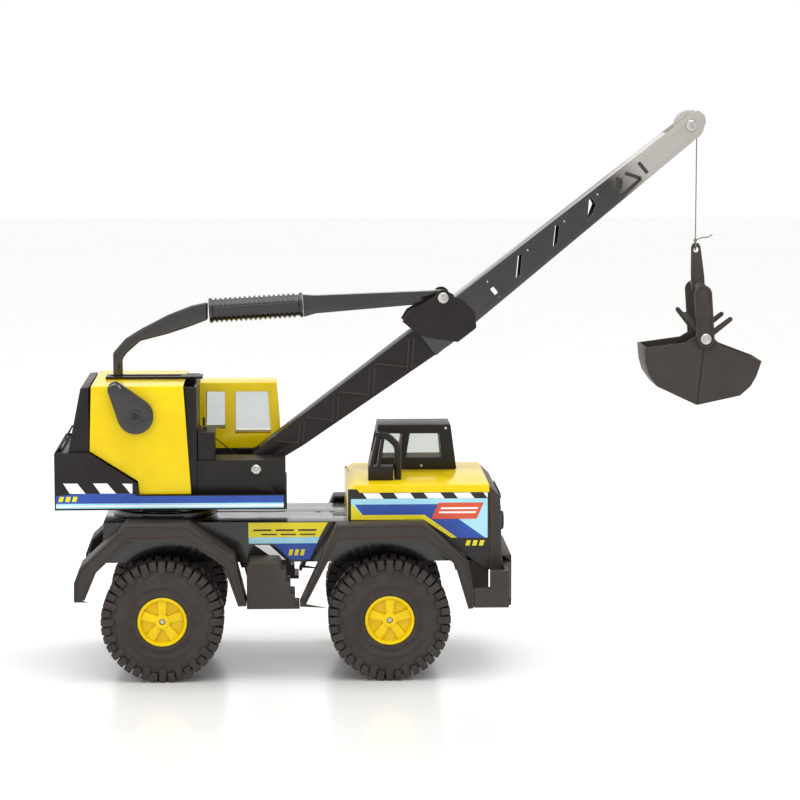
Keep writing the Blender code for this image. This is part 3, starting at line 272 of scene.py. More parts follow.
ink_yellow = printed("printed_yellow_film", ("f0dc1e", "f6e52c"))
ink_pale_blue = printed("printed_pale_blue_film", ("9fdcf0", "b4e8f8"))
ink_blue = printed("printed_deep_blue_film", ("2347a0", "2a52ae"))
ink_white = printed("printed_white_film", ("f4f6f6", "ffffff"))
ink_black = printed("printed_black_film", ("171413", "1f1b1a"))
ink_red = printed("printed_red_film", ("d8502f", "e25c3a"))


def cut_flat(name, outlines, near_y, far_y):
    """A plate cut to those outlines of (x, z), with its two faces at near_y and far_y."""
    shape = bpy.data.curves.new(name, "CURVE")
    shape.dimensions, shape.fill_mode = "2D", "BOTH"
    shape.extrude = abs(far_y - near_y) / 2
    for outline in outlines:
        line = shape.splines.new("POLY")
        line.points.add(len(outline) - 1)
        for point, (x, z) in zip(line.points, outline):
            point.co = (x, z, 0, 1)
        line.use_cyclic_u = True
    made = bpy.data.objects.new(name, shape)
    bpy.context.scene.collection.objects.link(made)
    pick(made)
    bpy.ops.object.convert(target="MESH")
    made.rotation_euler.x = math.pi / 2
    made.location.y = (near_y + far_y) / 2
    bpy.ops.object.transform_apply(location=True, rotation=True, scale=True)
    bpy.ops.object.mode_set(mode="EDIT")
    bpy.ops.mesh.select_all(action="SELECT")
    bpy.ops.mesh.remove_doubles(threshold=0.000001)
    bpy.ops.mesh.normals_make_consistent(inside=False)
    bpy.ops.object.mode_set(mode="OBJECT")
    return made


def slant_bars(x, low, high, lean, width, gap, count):
    """A row of slanted bars from x onwards, their tops lean further along than their feet."""
    return [
        [
            (x + n * (width + gap), low),
            (x + n * (width + gap) + width, low),
            (x + n * (width + gap) + width + lean, high),
            (x + n * (width + gap) + lean, high),
        ]
        for n in range(count)
    ]


film = 0.00006
film_gap = 0.00002


def stick(name, layers, body, half_width):
    """Sticks films of those inks and outlines on both sides, each a hair over the last."""
    for side, way in (("right", -1), ("left", 1)):
        for n, (ink, outlines) in enumerate(layers):
            inner = half_width + film_gap + film * n
            layer = cut_flat(f"{name}_{side}_{n}", outlines, way * inner, way * (inner + film))
            dress(layer, ink, body)


stick(
    "deck_film",
    [
        (
            ink_yellow,
            [[(-0.1604, 0.1345), (-0.0908, 0.1346), (-0.0826, 0.1490), (-0.1604, 0.1490)]],
        ),
        (
            ink_pale_blue,
            [[(-0.1601, 0.1284), (-0.0931, 0.1284), (-0.0908, 0.1346), (-0.1601, 0.1345)]],
        ),
        (
            ink_blue,
            [[(-0.1200, 0.1122), (-0.1006, 0.1122), (-0.0931, 0.1284), (-0.1365, 0.1284)]],
        ),
        (
            ink_white,
            [[(-0.1336, 0.1122), (-0.1240, 0.1122), (-0.1400, 0.1270), (-0.1545, 0.1270)]],
        ),
        (ink_yellow, slant_bars(-0.1215, 0.1165, 0.1225, 0.0015, 0.0036, 0.0022, 3)),
        (ink_black, slant_bars(-0.1560, 0.1408, 0.1424, 0.0003, 0.0180, 0.0040, 3)),
        (ink_black, slant_bars(-0.1480, 0.1368, 0.1380, 0.0003, 0.0150, 0.0040, 3)),
    ],
    "chassis",
    0.058,
)

# ---------------------------------------------------------------- hood
# One folded sheet of steel in bright yellow enamel, its long edges rolled over a small radius,
# with a printed film along each side that follows the arch below it.
yellow_enamel = finish(
    "yellow_stoved_enamel",
    "ecca00",
    "f4d604",
    45,
    1.8,
    0.012,
    (0.18, 0.30),
    {"Coat Weight": 0.2, "Coat Roughness": 0.1, "IOR": 1.5, "Specular IOR Level": 0.2},
)
pressed("hood", 1.0, yellow_enamel, 3)
stick(
    "hood_film",
    [
        (
            ink_black,
            [
                [
                    (-0.0632, 0.1360),
                    (0.0262, 0.1360),
                    (0.0744, 0.1042),
                    (0.0744, 0.1812),
                    (-0.0520, 0.1812),
                    (-0.0545, 0.1846),
                    (-0.0632, 0.1846),
                ]
            ],
        ),
        (
            ink_pale_blue,
            [
                [
                    (-0.0603, 0.1545),
                    (0.0101, 0.1546),
                    (0.0373, 0.1364),
                    (0.0728, 0.1362),
                    (0.0728, 0.1750),
                    (-0.0603, 0.1750),
                ]
            ],
        ),
        (
            ink_blue,
            [
                [
                    (-0.0566, 0.1696),
                    (-0.0489, 0.1592),
                    (0.0113, 0.1592),
                    (0.0432, 0.1364),
                    (0.0705, 0.1362),
                    (0.0240, 0.1696),
                ]
            ],
        ),
        (
            ink_yellow,
            [
                [
                    (-0.0603, 0.1545),
                    (0.0101, 0.1546),
                    (0.0373, 0.1364),
                    (0.0432, 0.1364),
                    (0.0113, 0.1592),
                    (-0.0489, 0.1592),
                    (-0.0603, 0.1704),
                ]
            ],
        ),
        (
            ink_white,
            [
                [
                    (left, 0.1808),
                    (left + 0.0160, 0.1808),
                    (left + 0.0204, 0.1752),
                    (left + 0.0042, 0.1752),
                ]
                for left in (-0.0489, -0.0188, 0.0106, 0.0396)
            ]
            + [[(0.0685, 0.1808), (0.0728, 0.1808), (0.0728, 0.1754)]],
        ),
        (ink_red, [[(0.0180, 0.1550), (0.0620, 0.1550), (0.0690, 0.1710), (0.0250, 0.1710)]]),
        (
            ink_white,
            [
                [(0.0250, 0.1606), (0.0610, 0.1606), (0.0618, 0.1624), (0.0258, 0.1624)],
                [(0.0268, 0.1646), (0.0628, 0.1646), (0.0636, 0.1664), (0.0276, 0.1664)],
            ],
        ),
        (ink_yellow, slant_bars(0.0510, 0.1285, 0.1338, 0.0015, 0.0042, 0.0024, 3)),
    ],
    "chassis",
    0.078,
)

# ---------------------------------------------------------------- grille and bumper
# Both are moulded in the same dark plastic as the arches and pushed on to the hood's front. The
# grille has five louvres and a round lamp at each side, and a plate behind each front arch
# closes the gap between hood and bumper.
pressed("front_grille", 1.2, dark_plastic, 3)
pressed("front_bumper", 2.4, dark_plastic, 4)
for side, way in (("right", -1), ("left", 1)):
    apron = cut_flat(
        f"front_apron_{side}",
        [
            [
                (0.0500, 0.1046),
                (0.0570, 0.0850),
                (0.0625, 0.0815),
                (0.0690, 0.0850),
                (0.0745, 0.0850),
                (0.0745, 0.1040),
                (0.0600, 0.1130),
            ]
        ],
        way * 0.0690,
        way * 0.0712,
    )
    modify(apron, "BEVEL", width=0.0005, segments=2, limit_method="ANGLE")
    dress(apron, dark_plastic, "chassis")
grille_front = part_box("front_grille")[1].x
slat_count, slat_foot, slat_step = 5, 0.125, 0.011
for n in range(slat_count):
    z = slat_foot + slat_step * n
    slat = cut_flat(
        f"grille_slat_{n}",
        [
            [
                (grille_front - 0.0004, z),
                (grille_front + 0.0016, z),
                (grille_front + 0.0004, z + 0.0062),
                (grille_front - 0.0004, z + 0.0062),
            ]
        ],
        -0.040,
        0.040,
    )
    modify(slat, "BEVEL", width=0.0003, segments=2, limit_method="ANGLE")
    dress(slat, dark_plastic, "chassis")


def turned(name, profile, steps=48, closed=True):
    """A piece turned about the Y axis from its profile of (radius, y)."""
    shape = bpy.data.curves.new(name, "CURVE")
    shape.dimensions = "3D"
    line = shape.splines.new("POLY")
    line.points.add(len(profile) - 1)
    for point, (radius, y) in zip(line.points, profile):
        point.co = (radius, y, 0, 1)
    line.use_cyclic_u = closed
    made = bpy.data.objects.new(name, shape)
    bpy.context.scene.collection.objects.link(made)
    pick(made)
    bpy.ops.object.convert(target="MESH")
    bpy.ops.object.mode_set(mode="EDIT")
    bpy.ops.mesh.select_all(action="SELECT")
    bpy.ops.mesh.spin(steps=steps, angle=2 * math.pi, center=(0, 0, 0), axis=(0, 1, 0))
    bpy.ops.mesh.select_all(action="SELECT")
    bpy.ops.mesh.remove_doubles(threshold=0.000005)
    bpy.ops.mesh.normals_make_consistent(inside=False)
    bpy.ops.object.mode_set(mode="OBJECT")
    bpy.ops.object.shade_smooth_by_angle(angle=math.radians(35))
    return made


def placed(obj, matrix):
    """Carries a piece to its place, and leaves the place in its mesh."""
    pick(obj)
    obj.matrix_world = matrix
    bpy.ops.object.transform_apply(location=True, rotation=True, scale=True)
    if matrix.determinant() < 0:
        bpy.ops.object.mode_set(mode="EDIT")
        bpy.ops.mesh.select_all(action="SELECT")
        bpy.ops.mesh.normals_make_consistent(inside=False)
        bpy.ops.object.mode_set(mode="OBJECT")
    return obj


def twin(obj, name, matrix):
    """A copy of a piece, with its own mesh, carried to its place."""
    made = obj.copy()
    made.data = obj.data.copy()
    made.name = name
    bpy.context.scene.collection.objects.link(made)
    return placed(made, matrix)


# Opal white polystyrene, moulded, for the lamps' lenses.
opal_plastic = finish(
    "opal_lamp_plastic", "dcdcd6", "e6e6e0", 8, 0.8, 0.004, (0.12, 0.2), {"IOR": 1.59}
)
lens = [(0, -0.0022), (0.0030, -0.0020), (0.0056, -0.0012), (0.0068, 0), (0, 0)]
bezel = [(0.0070, 0), (0.0072, -0.0020), (0.0080, -0.0024), (0.0090, -0.0018), (0.0094, 0)]
for side, way in (("right", -1), ("left", 1)):
    place = Matrix.Translation((grille_front, way * 0.0560, 0.150)) @ Matrix.Rotation(
        math.pi / 2, 4, "Z"
    )
    lamp = placed(turned(f"lamp_lens_{side}", lens, 32, False), place)
    dress(lamp, opal_plastic, "chassis")
    dress(
        placed(turned(f"lamp_bezel_{side}", bezel, 32), place),
        dark_plastic,
        "chassis",
    )

# ---------------------------------------------------------------- truck cab and air intake
# A black moulded cab frame with clear windows, held on the hood by bright rivets, and a moulded
# air cleaner with its slatted stack and bent pipe.
black_plastic = finish(
    "moulded_black_plastic",
    "1a1614",
    "1f1b19",
    24,
    0.6,
    0.03,
    (0.32, 0.42),
    {"IOR": 1.49, "Specular IOR Level": 0.3},
)
pressed("truck_cab", 0.8, black_plastic)
pressed("air_intake", 0.7, black_plastic)
# Clear polystyrene glazing with a faint grey-green tint, so that the far side shows through.
window_plastic = finish(
    "clear_glazing",
    "eef2f0",
    "f6f8f7",
    30,
    3,
    0.003,
    (0.02, 0.05),
    {"Transmission Weight": 0.9, "IOR": 1.12},
)
pressed("truck_cab_glass", 0.2, window_plastic)
dome_profile = [(0, -0.0012), (0.0008, -0.0011), (0.0014, -0.0006), (0.0016, 0), (0, 0)]
near_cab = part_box("truck_cab")[0].y
for n, (x, z) in enumerate(((0.0375, 0.2305), (0.0130, 0.1925), (-0.0340, 0.1925))):
    dome = placed(
        turned(f"cab_rivet_{n}", dome_profile, 20, False), Matrix.Translation((x, near_cab, z))
    )
    dress(dome, plated_steel, "chassis")

# ---------------------------------------------------------------- wheels
# Hollow tyres blown in soft dark vinyl, with a row of long and short shoulder lugs on each side,
# stretched over bright yellow moulded rims with five spokes.
tyre_vinyl = finish(
    "soft_tyre_vinyl",
    "332d2a",
    "3f3834",
    14,
    0.9,
    0.06,
    (0.46, 0.62),
    {"IOR": 1.5, "Specular IOR Level": 0.3},
)
# Glossy moulded polypropylene, coloured right through, with a faint waxy bloom.
yellow_plastic = finish(
    "yellow_moulded_plastic",
    "e6c200",
    "f0d004",
    12,
    1.2,
    0.008,
    (0.22, 0.34),
    {
        "IOR": 1.49,
        "Specular IOR Level": 0.3,
        "Subsurface Weight": 0.06,
        "Subsurface Radius": (0.004, 0.003, 0.001),
    },
)
wall = [
    (0.0244, -0.0150),
    (0.0245, -0.0190),
    (0.0262, -0.0199),
    (0.0285, -0.0197),
    (0.0298, -0.0188),
    (0.0325, -0.0189),
    (0.0340, -0.0201),
    (0.0362, -0.0203),
    (0.0376, -0.0194),
    (0.0405, -0.0193),
    (0.0450, -0.0192),
    (0.0490, -0.0186),
    (0.0520, -0.0174),
    (0.0540, -0.0150),
    (0.0550, -0.0100),
]
tyre = turned(
    "tyre_pattern", [*wall, (0.0552, 0), *((r, -y) for r, y in reversed(wall))], 96
)


tread_radius = 0.0594
lug_half_width = 0.0034


def lug(name, foot, length):
    """One shoulder lug: it starts at that radius on the wall and runs that far over the tread."""
    made = cut_flat(
        name,
        [
            [
                (-0.0178, foot),
                (-0.0205, foot + 0.0006),
                (-0.0210, 0.0560),
                (-0.0203, 0.0585),
                (-0.0186, tread_radius),
                (-0.0210 + length, tread_radius),
                (-0.0210 + length, 0.0538),
                (-0.0165, 0.0525),
            ]
        ],
        -lug_half_width,
        lug_half_width,
    )
    modify(made, "BEVEL", width=0.0006, segments=1, limit_method="ANGLE")
    return placed(made, Matrix.Rotation(math.pi / 2, 4, "Z"))


lug_count = 40
lugs = [lug("long_lug", 0.0455, 0.0175), lug("short_lug", 0.0500, 0.0130)]
for way, turn in ((1, 0), (-1, 0.5)):
    for n in range(lug_count):
        spot = Matrix.Rotation(2 * math.pi * (n + turn) / lug_count, 4, "Y") @ Matrix.Diagonal(
            (1, way, 1, 1)
        )
        twin(lugs[n % 2], f"lug_{way}_{n}", spot)
for first in lugs:
    bpy.data.objects.remove(first)
pick(tyre)
for piece in bpy.data.objects:
    if piece.name.startswith("lug_"):
        piece.select_set(True)
bpy.ops.object.join()
bpy.ops.object.shade_smooth_by_angle(angle=math.radians(35))

rim = turned(
    "rim_pattern",
    [
        (0.0030, -0.0108),
        (0.0030, -0.0180),
        (0.0058, -0.0184),
        (0.0070, -0.0177),
        (0.0075, -0.0134),
        (0.0194, -0.0130),
        (0.0205, -0.0140),
        (0.0210, -0.0190),
        (0.0217, -0.0199),
        (0.0230, -0.0200),
        (0.0239, -0.0192),
        (0.0240, -0.0166),
        (0.0232, -0.0156),
        (0.0232, 0.0190),
        (0.0226, 0.0198),
        (0.0216, 0.0198),
        (0.0209, 0.0190),
        (0.0207, -0.0098),
        (0.0200, -0.0106),
    ],
    80,
)
spoke = cut_flat(
    "spoke_pattern",
    [[(-0.0034, 0.0062), (0.0034, 0.0062), (0.0046, 0.0208), (-0.0046, 0.0208)]],
    -0.0172,
    -0.0120,
)
modify(spoke, "BEVEL", width=0.0008, segments=3, limit_method="ANGLE")
spoke_count = 5
spokes = [
    twin(spoke, f"spoke_{n}", Matrix.Rotation(n * math.tau / spoke_count, 4, "Y"))
    for n in range(spoke_count)
]
bpy.data.objects.remove(spoke)
pick(rim)
for piece in spokes:
    piece.select_set(True)
bpy.ops.object.join()
bpy.ops.object.shade_smooth_by_angle(angle=math.radians(35))

for place in ("rear", "front"):
    for side, way in (("right", 1), ("left", -1)):
        low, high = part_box(f"tyre_{place}_{side}")
        middle = (low + high) / 2
        spot = Matrix.Translation(middle) @ Matrix.Diagonal((1, way, 1, 1))
        body = f"wheel_{place}_{side}"
        made = twin(tyre, f"tyre_{place}_{side}_made", spot)
        dress(made, tyre_vinyl, body)
        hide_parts(f"tyre_{place}_{side}")
        made = twin(rim, f"rim_{place}_{side}_made", spot)
        dress(made, yellow_plastic, body)
        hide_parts(f"rim_{place}_{side}")
bpy.data.objects.remove(tyre)
bpy.data.objects.remove(rim)

# ---------------------------------------------------------------- turntable
# A pressed ring and a turned kingpin carry the turret over the rear axle, under a flat disc.
pressed("turntable_ring", 0.6, black_enamel)
pressed("kingpin", 0.3, plated_steel)
pressed("turntable_disc", 0.6, black_enamel)

# ---------------------------------------------------------------- turret tray
# The turret stands in a tray folded from black enamelled sheet, high behind and low in front,
# with a printed film along each side.
pressed("turret_tray", 0.7, black_plastic)
stick(
    "tray_film",
    [
        (
            ink_blue,
            [
                [
                    (-0.3462, 0.1716),
                    (-0.1257, 0.1716),
                    (-0.1257, 0.1786),
                    (-0.2676, 0.1786),
                    (-0.2730, 0.1814),
                    (-0.3215, 0.1814),
                    (-0.3462, 0.1790),
                ]
            ],
        ),
        (
            ink_pale_blue,
            [[(-0.3462, 0.1668), (-0.1257, 0.1668), (-0.1257, 0.1716), (-0.3462, 0.1716)]],
        ),
        (ink_white, [[(-0.3462, 0.1682), (-0.1257, 0.1682), (-0.1257, 0.1698), (-0.3462, 0.1698)]]),
        (
            ink_white,
            [
                [(-0.3390, 0.1914), (-0.3254, 0.1914), (-0.3175, 0.1814), (-0.3327, 0.1814)],
                [(-0.3102, 0.1914), (-0.2966, 0.1914), (-0.2879, 0.1814), (-0.3031, 0.1814)],
                [(-0.2821, 0.1912), (-0.2722, 0.1908), (-0.2722, 0.1816), (-0.2742, 0.1814)],
            ],
        ),
        (ink_yellow, slant_bars(-0.3440, 0.1735, 0.1785, 0.0015, 0.0042, 0.0024, 3)),
    ],
    "turret",
    0.075,
)

# ---------------------------------------------------------------- counterweight and rear hoop
# A hollow slab moulded in black plastic leans against the back of the cover, with a bent wire
# hoop behind it.
pressed("counterweight", 1.6, black_plastic, 3)
pressed("rear_hoop", 0.3, black_enamel)

# ---------------------------------------------------------------- engine cover
# The cover is folded steel in bright yellow enamel over the winch. A black strip on its roof
# guides the strut's foot.
pressed("engine_cover", 2.2, yellow_enamel, 4)
pressed("roof_slide_guide", 0.4, black_plastic)

# ---------------------------------------------------------------- winch and crank
# A moulded drum turns on a plated shaft. The crank is a glossy teardrop moulding with a round knob
# at its narrow end and a ring round the socket over the shaft. The socket's depth is a flat black
# disc of painted shade.
gloss_black = finish(
    "polished_black_plastic",
    "1c1918",
    "272322",
    16,
    1.4,
    0.01,
    (0.10, 0.20),
    {"IOR": 1.53, "Coat Weight": 0.3, "Coat Roughness": 0.06},
)
pressed("winch_drum", 0.4, black_plastic)
pressed("crank_handle", 1.5, gloss_black, 3)
crank_face = -0.0778
hub = Matrix.Translation((-0.2685, crank_face, 0.257))
socket = [
    (0.0038, 0.0008),
    (0.0038, -0.0010),
    (0.0046, -0.0014),
    (0.0060, -0.0012),
    (0.0066, 0.0008),
]
ring = placed(turned("crank_hub_ring", socket, 40), hub)
dress(ring, gloss_black, "winch")
# A thin black disc across the socket: painted shade standing for the depth of the hole.
shade_disc_profile = [(0, 0.0002), (0.0037, 0.0002), (0.0037, -0.0004), (0, -0.0004)]
socket_shade_disc = placed(turned("crank_hub_painted_shade", shade_disc_profile, 32, False), hub)
dress(socket_shade_disc, ink_black, "winch")

# ---------------------------------------------------------------- bulkhead, housing and box
# The front of the turret is moulded in black plastic: an upright bulkhead, the housing that
# holds the boom's foot, and a box of machinery. Shallow ribs mark the housing's panels.
pressed("front_bulkhead", 0.8, black_plastic)
pressed("boom_housing", 0.8, black_plastic)
pressed("machinery_box", 1.2, black_plastic, 3)


def strip(start, end, width):
    """The outline of a straight strip of that width from one point to the other."""
    run = Vector(end) - Vector(start)
    across = Vector((-run.y, run.x)).normalized() * width / 2
    corners = ((start, -1), (end, -1), (end, 1), (start, 1))
    return [tuple(Vector(point) + way * across) for point, way in corners]


for side, way in (("right", -1), ("left", 1)):
    ribs = cut_flat(
        f"housing_ribs_{side}",
        [
            strip((-0.2060, 0.1800), (-0.2060, 0.2105), 0.0006),
            strip((-0.1622, 0.1800), (-0.1622, 0.2105), 0.0006),
            strip((-0.1412, 0.1870), (-0.1384, 0.2095), 0.0006),
        ],
        way * 0.0615,
        way * 0.0623,
    )
    dress(ribs, black_plastic, "turret")
peg = [(0, 0.0080), (0.0009, 0.0078), (0.0013, 0.0068), (0.0013, -0.0005), (0, -0.0005)]
upright = Matrix.Translation((-0.2035, -0.0400, 0.2433)) @ Matrix.Rotation(math.pi / 2, 4, "X")
made = placed(turned("machinery_peg", peg, 16, False), upright)
dress(made, black_plastic, "turret")
pressed("boom_pivot_pin", 0.6, plated_steel, 3)

# ---------------------------------------------------------------- operator's cab
# A folded yellow steel cab beside the boom's foot, with clear windows let into it.
pressed("operator_cab", 1.2, yellow_enamel, 3)
pressed("operator_cab_glass", 0.2, window_plastic)

# ---------------------------------------------------------------- lower boom
# A hollow beam moulded in black plastic. Shallow ribs stand on its sides like a lattice: pairs
# of uprights, with a diagonal between each pair and the next.
boom_rise = math.radians(37.5)
boom_place = Matrix.Translation((-0.1525, 0, 0.202)) @ Matrix.Rotation(-boom_rise, 4, "Y")
pressed("lower_boom", 0.8, black_plastic)
lattice = [
    strip((a / 1000, b / 1000), (c / 1000, d / 1000), 0.0013)
    for a, b, c, d in (
        (43, -11.5, 58, 4.5),
        (47, -14.0, 62.5, 2.8),
        (84, -13.5, 100.5, 4.5),
        (88.5, -16.0, 105, 2.4),
        (127.5, -15.0, 146, 5.6),
        (132, -17.5, 151, 3.4),
        (175, -17.5, 194.5, 5.2),
        (179, -19.5, 200, 3.8),
        (28.8, 6.0, 45.2, -9.4),
        (66.3, 6.4, 85.2, -11.5),
        (108.3, 6.1, 128.7, -12.9),
        (153.3, 6.6, 176.9, -15.6),
    )
]
for side, way in (("right", -1), ("left", 1)):
    ribs = placed(
        cut_flat(f"lower_boom_ribs_{side}", lattice, way * 0.0158, way * 0.0172), boom_place
    )
    modify(ribs, "BEVEL", width=0.0004, segments=2, limit_method="ANGLE")
    dress(ribs, dark_plastic, "boom")

# ---------------------------------------------------------------- upper boom
# A channel pressed from steel sheet and enamelled gloss black. Towards the tip a painted reflection
# turns its colour light grey. Slanted slots are punched through both walls, with embossed ridges
# between.
reflection_painted_boom_enamel = finish(
    "boom_tip_painted_reflection",
    "141110",
    "1c1817",
    20,
    1.6,
    0.012,
    (0.14, 0.24),
    {"Coat Weight": 0.6, "Coat Roughness": 0.07, "IOR": 1.5},
)
# Painted reflection: the black coat gives way to a light grey over 35 mm, measured along the boom.
tree = reflection_painted_boom_enamel.node_tree
shader = tree.nodes["Principled BSDF"]
place = node(tree, "ShaderNodeTexCoord")
along = node(
    tree,
    "ShaderNodeMapping",
    {"Rotation": (0, boom_rise, 0)},
    {"Vector": place.outputs["Object"]},
)
split = node(tree, "ShaderNodeSeparateXYZ", {}, {"Vector": along.outputs["Vector"]})
fade = node(
    tree,
    "ShaderNodeMapRange",
    {"From Min": 0.447, "From Max": 0.482},
    {"Value": split.outputs["X"]},
)
black_coat = shader.inputs["Base Color"].links[0].from_socket
coat = node(
    tree,
    "ShaderNodeMix",
    {"data_type": "RGBA"},
    {"Factor": fade.outputs["Result"], 6: black_coat},
)
coat.inputs[7].default_value = colour("a9a49d")
tree.links.new(coat.outputs[2], shader.inputs["Base Color"])

upper = pressed("upper_boom", 0.5, reflection_painted_boom_enamel)
slots = cut_flat(
    "slot_cutter",
    [
        strip((0.2905, -0.0040), (0.2908, -0.0155), 0.0042),
        strip((0.3324, 0.0048), (0.3154, -0.0135), 0.0040),
        strip((0.3790, 0.0053), (0.3635, -0.0110), 0.0042),
        [
            (0.4190, 0.0064),
            (0.4225, 0.0060),
            (0.4212, -0.0020),
            (0.4085, -0.0102),
            (0.4052, -0.0090),
        ],
        [(0.4520, 0.0040), (0.4590, 0.0040), (0.4510, -0.0060), (0.4460, -0.0080)],
    ],
    -0.030,
    0.030,
)
placed(slots, boom_place)
slots.hide_render = True
modify(upper, "BOOLEAN", object=slots, operation="DIFFERENCE", solver="EXACT")
bpy.data.objects.remove(slots)
bpy.ops.object.shade_smooth_by_angle(angle=math.radians(32))
corners = ((0.2907, 0.0033), (0.3410, 0.0039), (0.3870, 0.0044), (0.4289, 0.0054))
feet = ((0.3012, -0.0148), (0.3556, -0.0117), (0.3996, -0.0099), (0.4403, -0.0069))
tops = ((0.3254, 0.0042), (0.3720, 0.0050), (0.4132, 0.0058), (0.4507, 0.0064))
strokes = [
    strip((0.4550, 0.0068), (0.4425, -0.0090), 0.0034),
    strip((0.4470, -0.0105), (0.4724, -0.0082), 0.0034),
    strip((0.4724, -0.0082), (0.4630, 0.0056), 0.0034),
    strip((0.4799, 0.0058), (0.4806, -0.0078), 0.0034),
]
for side, way in (("right", -1), ("left", 1)):
    ridges = []
    for corner, foot, top in zip(corners, feet, tops):
        middle = ((corner[0] + foot[0]) / 2 + 0.0012, (corner[1] + foot[1]) / 2 + 0.0014)
        ridges.append(strip(corner, top, 0.0011))
        ridges.append(
            [
                corner,
                (middle[0] + 0.0010, middle[1] + 0.0008),
                foot,
                (middle[0] - 0.0014, middle[1] - 0.0010),
            ]
        )
    made = cut_flat(f"boom_ridges_{side}", ridges, way * 0.0176, way * 0.0191)
    modify(made, "BEVEL", width=0.0005, segments=2, limit_method="ANGLE")
    dress(placed(made, boom_place), gloss_black, "boom")
    made = cut_flat(f"boom_strokes_{side}", strokes, way * 0.0179, way * 0.0184)
    modify(made, "BEVEL", width=0.0002, segments=2, limit_method="ANGLE")
    dress(placed(made, boom_place), black_enamel, "boom")
    # Bright plated domes at the ridge corners are painted highlights: they stand for glints of
    # light at the ends of the embossing.
    for n, (x, z) in enumerate(corners):
        dome = turned(f"boom_glint_dome_{side}_{n}", dome_profile, 20, False)
        spot = Matrix.Translation((x, way * 0.0180, z)) @ Matrix.Diagonal((0.8, -way, 0.8, 1))
        placed(dome, boom_place @ spot)
        dress(dome, plated_steel, "boom")

# ---------------------------------------------------------------- strut bracket and pins
# A folded black bracket round the joint of the two booms holds the strut's pin. Both pins have
# bright domed heads.
pressed("strut_bracket", 1.2, black_plastic, 3)
pressed("strut_pin", 1.2, plated_steel, 4)
pressed("tip_pin", 1.0, plated_steel, 4)

# ---------------------------------------------------------------- sheave
# A grooved wheel moulded in pale grey plastic turns on the tip pin.
pale_plastic = finish(
    "pale_grey_plastic", "b4b0aa", "c4c0ba", 10, 0.8, 0.02, (0.30, 0.42), {"IOR": 1.49}
)
pressed("tip_sheave", 0.4, pale_plastic)

# ---------------------------------------------------------------- strut and its grip
# The strut is the handle that lifts the boom: a bent rear arm, a ribbed grip and a straight front
# arm, all polished black plastic. The grip's ribs run round it between two collars.
pressed("strut_rear_arm", 2.0, gloss_black, 4)
pressed("strut_front_arm", 1.6, gloss_black, 4)
ribbed = [(0, 0.0012), (0.0118, 0.0012), (0.0125, 0.0018), (0.0125, 0.0046), (0.0108, 0.0052)]
rib_count, rib_start, rib_step = 17, 0.0084, 0.0048
for n in range(rib_count):
    at = rib_start + rib_step * n
    ribbed += [
        (0.0108, at - 0.0013),
        (0.0123, at - 0.0009),
        (0.0123, at + 0.0009),
        (0.0108, at + 0.0013),
    ]
ribbed += [(0.0108, 0.0902), (0.0125, 0.0908), (0.0125, 0.0936), (0.0118, 0.0942), (0, 0.0942)]
knee = Vector((-0.1998, 0, 0.3523))
reach = Vector((0.0323, 0, 0.3659)) - knee
grip_place = (
    Matrix.Translation(knee)
    @ Matrix.Rotation(-math.atan2(reach.z, reach.x), 4, "Y")
    @ Matrix.Rotation(-math.pi / 2, 4, "Z")
)
grip = placed(turned("strut_grip_made", ribbed, 40, False), grip_place)
dress(grip, gloss_black, "strut")
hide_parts("strut_grip")
for side, way in (("right", -1), ("left", 1)):
    band = cut_flat(
        f"grip_band_{side}",
        [[(0.0056, -0.0042), (0.0900, -0.0042), (0.0900, 0.0042), (0.0056, 0.0042)]],
        way * 0.0100,
        way * 0.0122,
    )
    modify(band, "BEVEL", width=0.0006, segments=3, limit_method="ANGLE")
    placed(band, grip_place @ Matrix.Rotation(math.pi / 2, 4, "Z"))
    dress(band, gloss_black, "strut")

# ---------------------------------------------------------------- hoist line and knot
# A thin cord of three twisted strands: grey-brown polyester, 1.2 mm across. It runs from the drum
# along the boom, over the sheave and straight down to the knot on the bucket's bow.
cord_fibre = finish(
    "twisted_polyester_cord", "6a6058", "82776d", 2, 0.25, 0.05, (0.6, 0.8), {"Sheen Weight": 0.3}
)
# The cord's lead from the drum gets the black plastic finish: painted shade on a stretch of the
# same grey-brown cord.
pressed("hoist_line_lead", 0.1, black_plastic)
pressed("hoist_line_run", 0.1, cord_fibre)
line_x, line_top, line_foot = 0.284365, 0.534438, 0.4229
fall = line_top - line_foot
lay_length = 0.0032
turns = round(fall / lay_length)
strands = []
for n in range(3):
    bpy.ops.object.select_all(action="DESELECT")
    bpy.ops.mesh.primitive_circle_add(
        vertices=8,
        radius=0.00033,
        location=(0.00027 * math.cos(n * math.tau / 3), 0.00027 * math.sin(n * math.tau / 3), 0),
    )
    strand = bpy.context.active_object
    bpy.ops.object.transform_apply(location=True, rotation=True, scale=True)
    modify(
        strand,
        "SCREW",
        axis="Z",
        angle=turns * math.tau,
        screw_offset=fall,
        steps=turns * 12,
        render_steps=turns * 12,
        use_merge_vertices=False,
        use_smooth_shade=True,
    )
    strands.append(strand)
pick(strands[0])
for strand in strands:
    strand.select_set(True)
bpy.ops.object.join()
line = bpy.context.active_object
line.name = "hoist_line_made"
bpy.ops.object.mode_set(mode="EDIT")
bpy.ops.mesh.select_all(action="SELECT")
bpy.ops.mesh.fill_holes(sides=0)
bpy.ops.mesh.select_all(action="SELECT")
bpy.ops.mesh.normals_make_consistent(inside=False)
bpy.ops.object.mode_set(mode="OBJECT")
placed(line, Matrix.Translation((line_x, 0, line_foot)))
line.data.materials.append(cord_fibre)
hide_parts("hoist_line")
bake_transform(line)
knot = pressed("line_knot", 0.3, cord_fibre)

